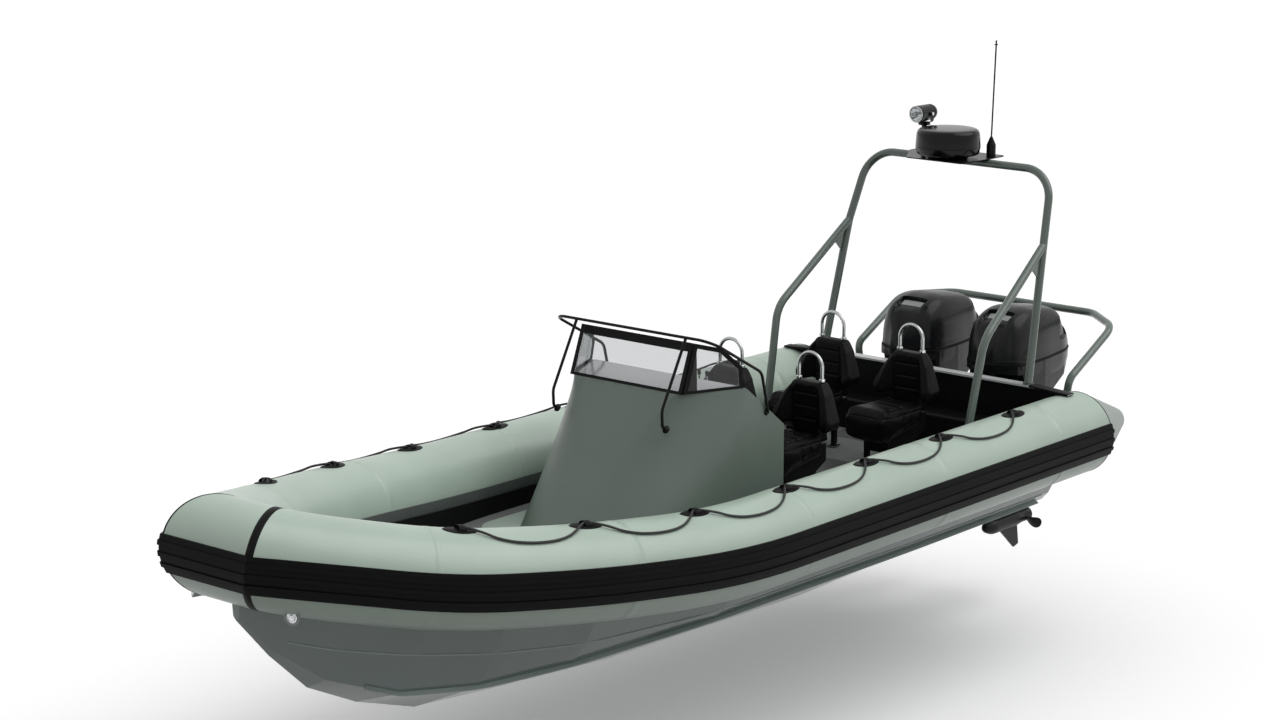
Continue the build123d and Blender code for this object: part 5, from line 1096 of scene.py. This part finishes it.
def seat_line(local):
    """The side welt of the saddle: a line about 45 mm under its top that dips with the nose."""
    return local[:, 2] - (0.728 + 0.012 * smooth_step((local[:, 0] - 0.42) / 0.12))


def channels(axis, places, depth, width, where):
    """Straight stitched lines: one at each place along an axis."""
    return [(lambda p, at=at: p[:, axis] - at, depth, width, where) for at in places]


seat_cover = seat_cloth("seat_cloth", (0.0022, 0.0022, 0.0023))
saddle = first_seat_foam("saddle_pad", "seat_cushions")
pull_cover(saddle)
stitch(saddle, channels(0, (0.17, 0.27, 0.37), 0.0055, 0.006, lambda p, n: (
    smooth_step((n[:, 2] - 0.4) / 0.3) * smooth_step((0.150 - abs(p[:, 1])) / 0.02)))
    + channels(1, (0.128, -0.128), 0.004, 0.005, lambda p, n: (
        smooth_step((n[:, 2] - 0.4) / 0.3) * smooth_step((0.50 - p[:, 0]) / 0.05)))
    + [(seat_line, 0.004, 0.005, lambda p, n: smooth_step((0.75 - abs(n[:, 2])) / 0.3))])
rest = first_seat_foam("rest_pad", "seat_backs")
pull_cover(rest)
stitch(rest, channels(2, (0.86, 0.95, 1.04), 0.005, 0.006, lambda p, n: (
    smooth_step((n[:, 0] - 0.3) / 0.3) * smooth_step((0.105 - abs(p[:, 1])) / 0.015)))
    + channels(1, (0.112, -0.112), 0.004, 0.005, lambda p, n: (
        smooth_step((n[:, 0] - 0.2) / 0.3) * smooth_step((p[:, 2] - 0.80) / 0.03)))
    + channels(0, (-0.035,), 0.004, 0.005, lambda p, n: smooth_step((0.7 - abs(n[:, 0])) / 0.3)))
for pattern, node, label in ((saddle, "seat_cushions", "saddle"), (rest, "seat_backs", "rest")):
    pattern.data.materials.clear()
    pattern.data.materials.append(seat_cover)
    pattern.data.shade_smooth()
    first = mesh_points(pattern.data)
    for number, (x, y) in enumerate(seat_centres):
        mesh = pattern.data.copy()
        mesh.vertices.foreach_set("co", (first + (x - seat_centres[0][0], y - seat_centres[0][1], 0.0)).ravel())
        pad = placed("%s_%d" % (label, number + 1), mesh)
        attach(pad, "hull_body")
        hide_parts(node)
    bpy.data.objects.remove(pattern)

# ---------------------------------------------------------------- searchlight
# A spun barrel in black paint, with a chrome bezel, a silvered bowl and a bulb behind clear glass.
# It hangs in a strap fork on a turntable, which the pan joint turns.
lamp_x, lamp_y, lamp_z = -3.715, -0.385, 2.665
lamp_middle = np.array((lamp_x, lamp_y, lamp_z))
fork_half_width, knob_reach = 0.0715, 0.073


def turned_about_x(middle, profile, segments=56):
    """A profile of step along x and radius, turned about the line through the middle that runs fore and aft."""
    step, radius = np.asarray(profile, float).T[:, :, None]
    turn = np.linspace(0.0, 2 * math.pi, segments + 1)[None, :]
    return middle + np.stack([step + 0 * turn, radius * np.cos(turn), radius * np.sin(turn)], -1)


def strap(route, across, width, thickness):
    """A flat strap along a route: an oblong section across one fixed direction, closed at both ends."""
    way = unit(np.gradient(route, axis=0))
    across = np.asarray(across, float)
    out = unit(np.cross(way, across))
    corners = np.array([(-1, -1), (1, -1), (1, 1), (-1, 1), (-1, -1)]) * (width / 2, thickness / 2)
    body = route[:, None, :] + corners[None, :, :1] * across + corners[None, :, 1:] * out[:, None, :]
    return np.concatenate([np.repeat(route[:1, None], 5, 1), body, np.repeat(route[-1:, None], 5, 1)])


barrel = turned_about_x(lamp_middle, [
    (-0.115, 0.0), (-0.114, 0.030), (-0.108, 0.043), (-0.094, 0.054), (-0.072, 0.0610), (-0.066, 0.0612),
    (-0.062, 0.0590), (-0.058, 0.0590), (-0.054, 0.0614), (0.080, 0.0632), (0.086, 0.0640), (0.110, 0.0640),
    (0.1145, 0.0622), (0.112, 0.0580), (0.100, 0.0570), (0.02, 0.050), (0.02, 0.0)])
lamp_ring = np.linspace(0, 2 * math.pi, 13)
bezel_wire = 0.0042
bezel = turned_about_x(lamp_middle, np.stack([0.1105 + bezel_wire * np.cos(lamp_ring),
                                              0.0590 + bezel_wire * np.sin(lamp_ring)], -1))
bowl_radius = np.linspace(0.0565, 0.006, 14)
bowl = turned_about_x(lamp_middle, np.concatenate([
    [(0.104, 0.0566)], np.stack([0.048 + 0.052 * (bowl_radius / 0.0565) ** 2, bowl_radius], -1), [(0.046, 0.0)],
    [(0.042, 0.0)], np.stack([0.045 + 0.052 * (bowl_radius[::-1] / 0.0565) ** 2, bowl_radius[::-1] + 0.001], -1),
    [(0.104, 0.0566)]]))
bulb = turned_about_x(lamp_middle, [(0.044, 0.0), (0.045, 0.007), (0.060, 0.0075), (0.068, 0.010), (0.078, 0.0105),
                                    (0.086, 0.007), (0.089, 0.0)], 24)
lens = turned_about_x(lamp_middle, [(0.1085, 0.0), (0.1080, 0.030), (0.1060, 0.0562), (0.1035, 0.0562), (0.1052, 0.030),
                                    (0.1058, 0.0)])
turntable = turned_about_z((lamp_x, lamp_y, 2.585), [(0.0, 0.0), (0.046, 0.0), (0.046, 0.006), (0.040, 0.010),
                                                     (0.030, 0.012), (0.0, 0.012)])
fork = strap(rounded_route([(lamp_x, lamp_y + side * fork_half_width, z) for side, z in (
    (-1, 2.678), (-1, 2.5985), (1, 2.5985), (1, 2.678))], 0.30, 8), (1, 0, 0), 0.036, 0.005)
lamp_paint = lacquer("lamp_paint", (0.008, 0.008, 0.0085), roughness=0.22)
chrome = bright_metal("lamp_chrome", (0.72, 0.73, 0.74), roughness=0.06)
clear_glass = tinted_glass("lamp_glass", (0.93, 0.95, 0.95))
lamp_barrel = skin("lamp_barrel", [barrel, turntable, fork], lamp_paint, crease=30, body="lamp")
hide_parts("searchlight")
knob = turned_about_z((0.0, 0.0, 0.0), [(0.0, 0.0), (0.012, 0.0), (0.012, 0.007), (0.009, 0.009), (0.0, 0.009)],
                      20)[..., [0, 2, 1]]
knobs = [knob * (1, hand, 1) + (lamp_x, lamp_y + hand * knob_reach, lamp_z) for hand in (1, -1)]
lamp_bowl = skin("lamp_bowl", [bowl, bezel] + knobs, chrome, body="lamp")
lamp_bulb = skin("lamp_bulb", [bulb], pale_grey_and_pocket_highlight, body="lamp")
lamp_lens = skin("lamp_lens", [lens], clear_glass, body="lamp")

# ---------------------------------------------------------------- propellers
# Three-bladed cast propellers on splined shafts, painted like the legs, with a flared hub that the exhaust leaves by.
prop_x, prop_z = -4.029, -0.413


def prop_blade(turn_from):
    """A twisted blade: at each radius a lens-shaped section whose pitch angle is atan(pitch / 2 pi r), its chord
    widest two thirds of the way out, closed at the tip."""
    radius = np.concatenate([np.linspace(0.040, 0.160, 16), [0.165, 0.1685, 0.1698]])[:, None]
    loop = np.linspace(0.0, 2 * math.pi, 29)[None, :]
    share = (radius - 0.040) / 0.130
    chord = 0.064 * np.sqrt(np.clip(1 - share ** 5, 0.0, 1.0)) * (0.62 + 0.52 * share)
    thick = 0.0062 * (1 - 0.72 * share)
    pitch = np.arctan2(0.060, radius)
    u = np.cos(loop)
    rake = 0.05 * share * 0.25
    step = u * chord * np.sin(pitch) * 0.72 - thick * np.sin(loop) * np.cos(pitch) - rake
    swing = (u * chord * np.cos(pitch) + thick * np.sin(loop) * np.sin(pitch)) / radius + 0.30 * share ** 2
    return np.stack([prop_x + 0.004 + step, radius * np.cos(turn_from + swing), radius * np.sin(turn_from + swing)], -1)


hub = turned_about_x(np.array((prop_x, 0.0, 0.0)), [
    (0.050, 0.0), (0.050, 0.030), (0.048, 0.050), (0.030, 0.0520), (-0.034, 0.0520), (-0.042, 0.0535),
    (-0.0460, 0.0555), (-0.0455, 0.052), (-0.034, 0.044), (-0.020, 0.040), (-0.020, 0.022), (-0.040, 0.020),
    (-0.042, 0.012), (-0.042, 0.0)])
blades = [prop_blade(turn) for turn in np.radians((90.0, 210.0, 330.0))]
leg_paint = lacquer("leg_paint", (0.0085, 0.0090, 0.0100), roughness=0.34)
prop_paint = lacquer("prop_paint", (0.0105, 0.011, 0.012), roughness=0.30, flake=0.3)
for label, hand in (("port", 1), ("starboard", -1)):
    place = np.array((0.0, hand * engine_y, prop_z))
    prop = skin("prop_cast_" + label, [grid * (1, hand, 1) + place for grid in [hub] + blades], prop_paint, crease=35,
                body="screw_" + label)
    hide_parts("propeller_" + label)
dress(leg_paint, "leg_port", "leg_starboard")
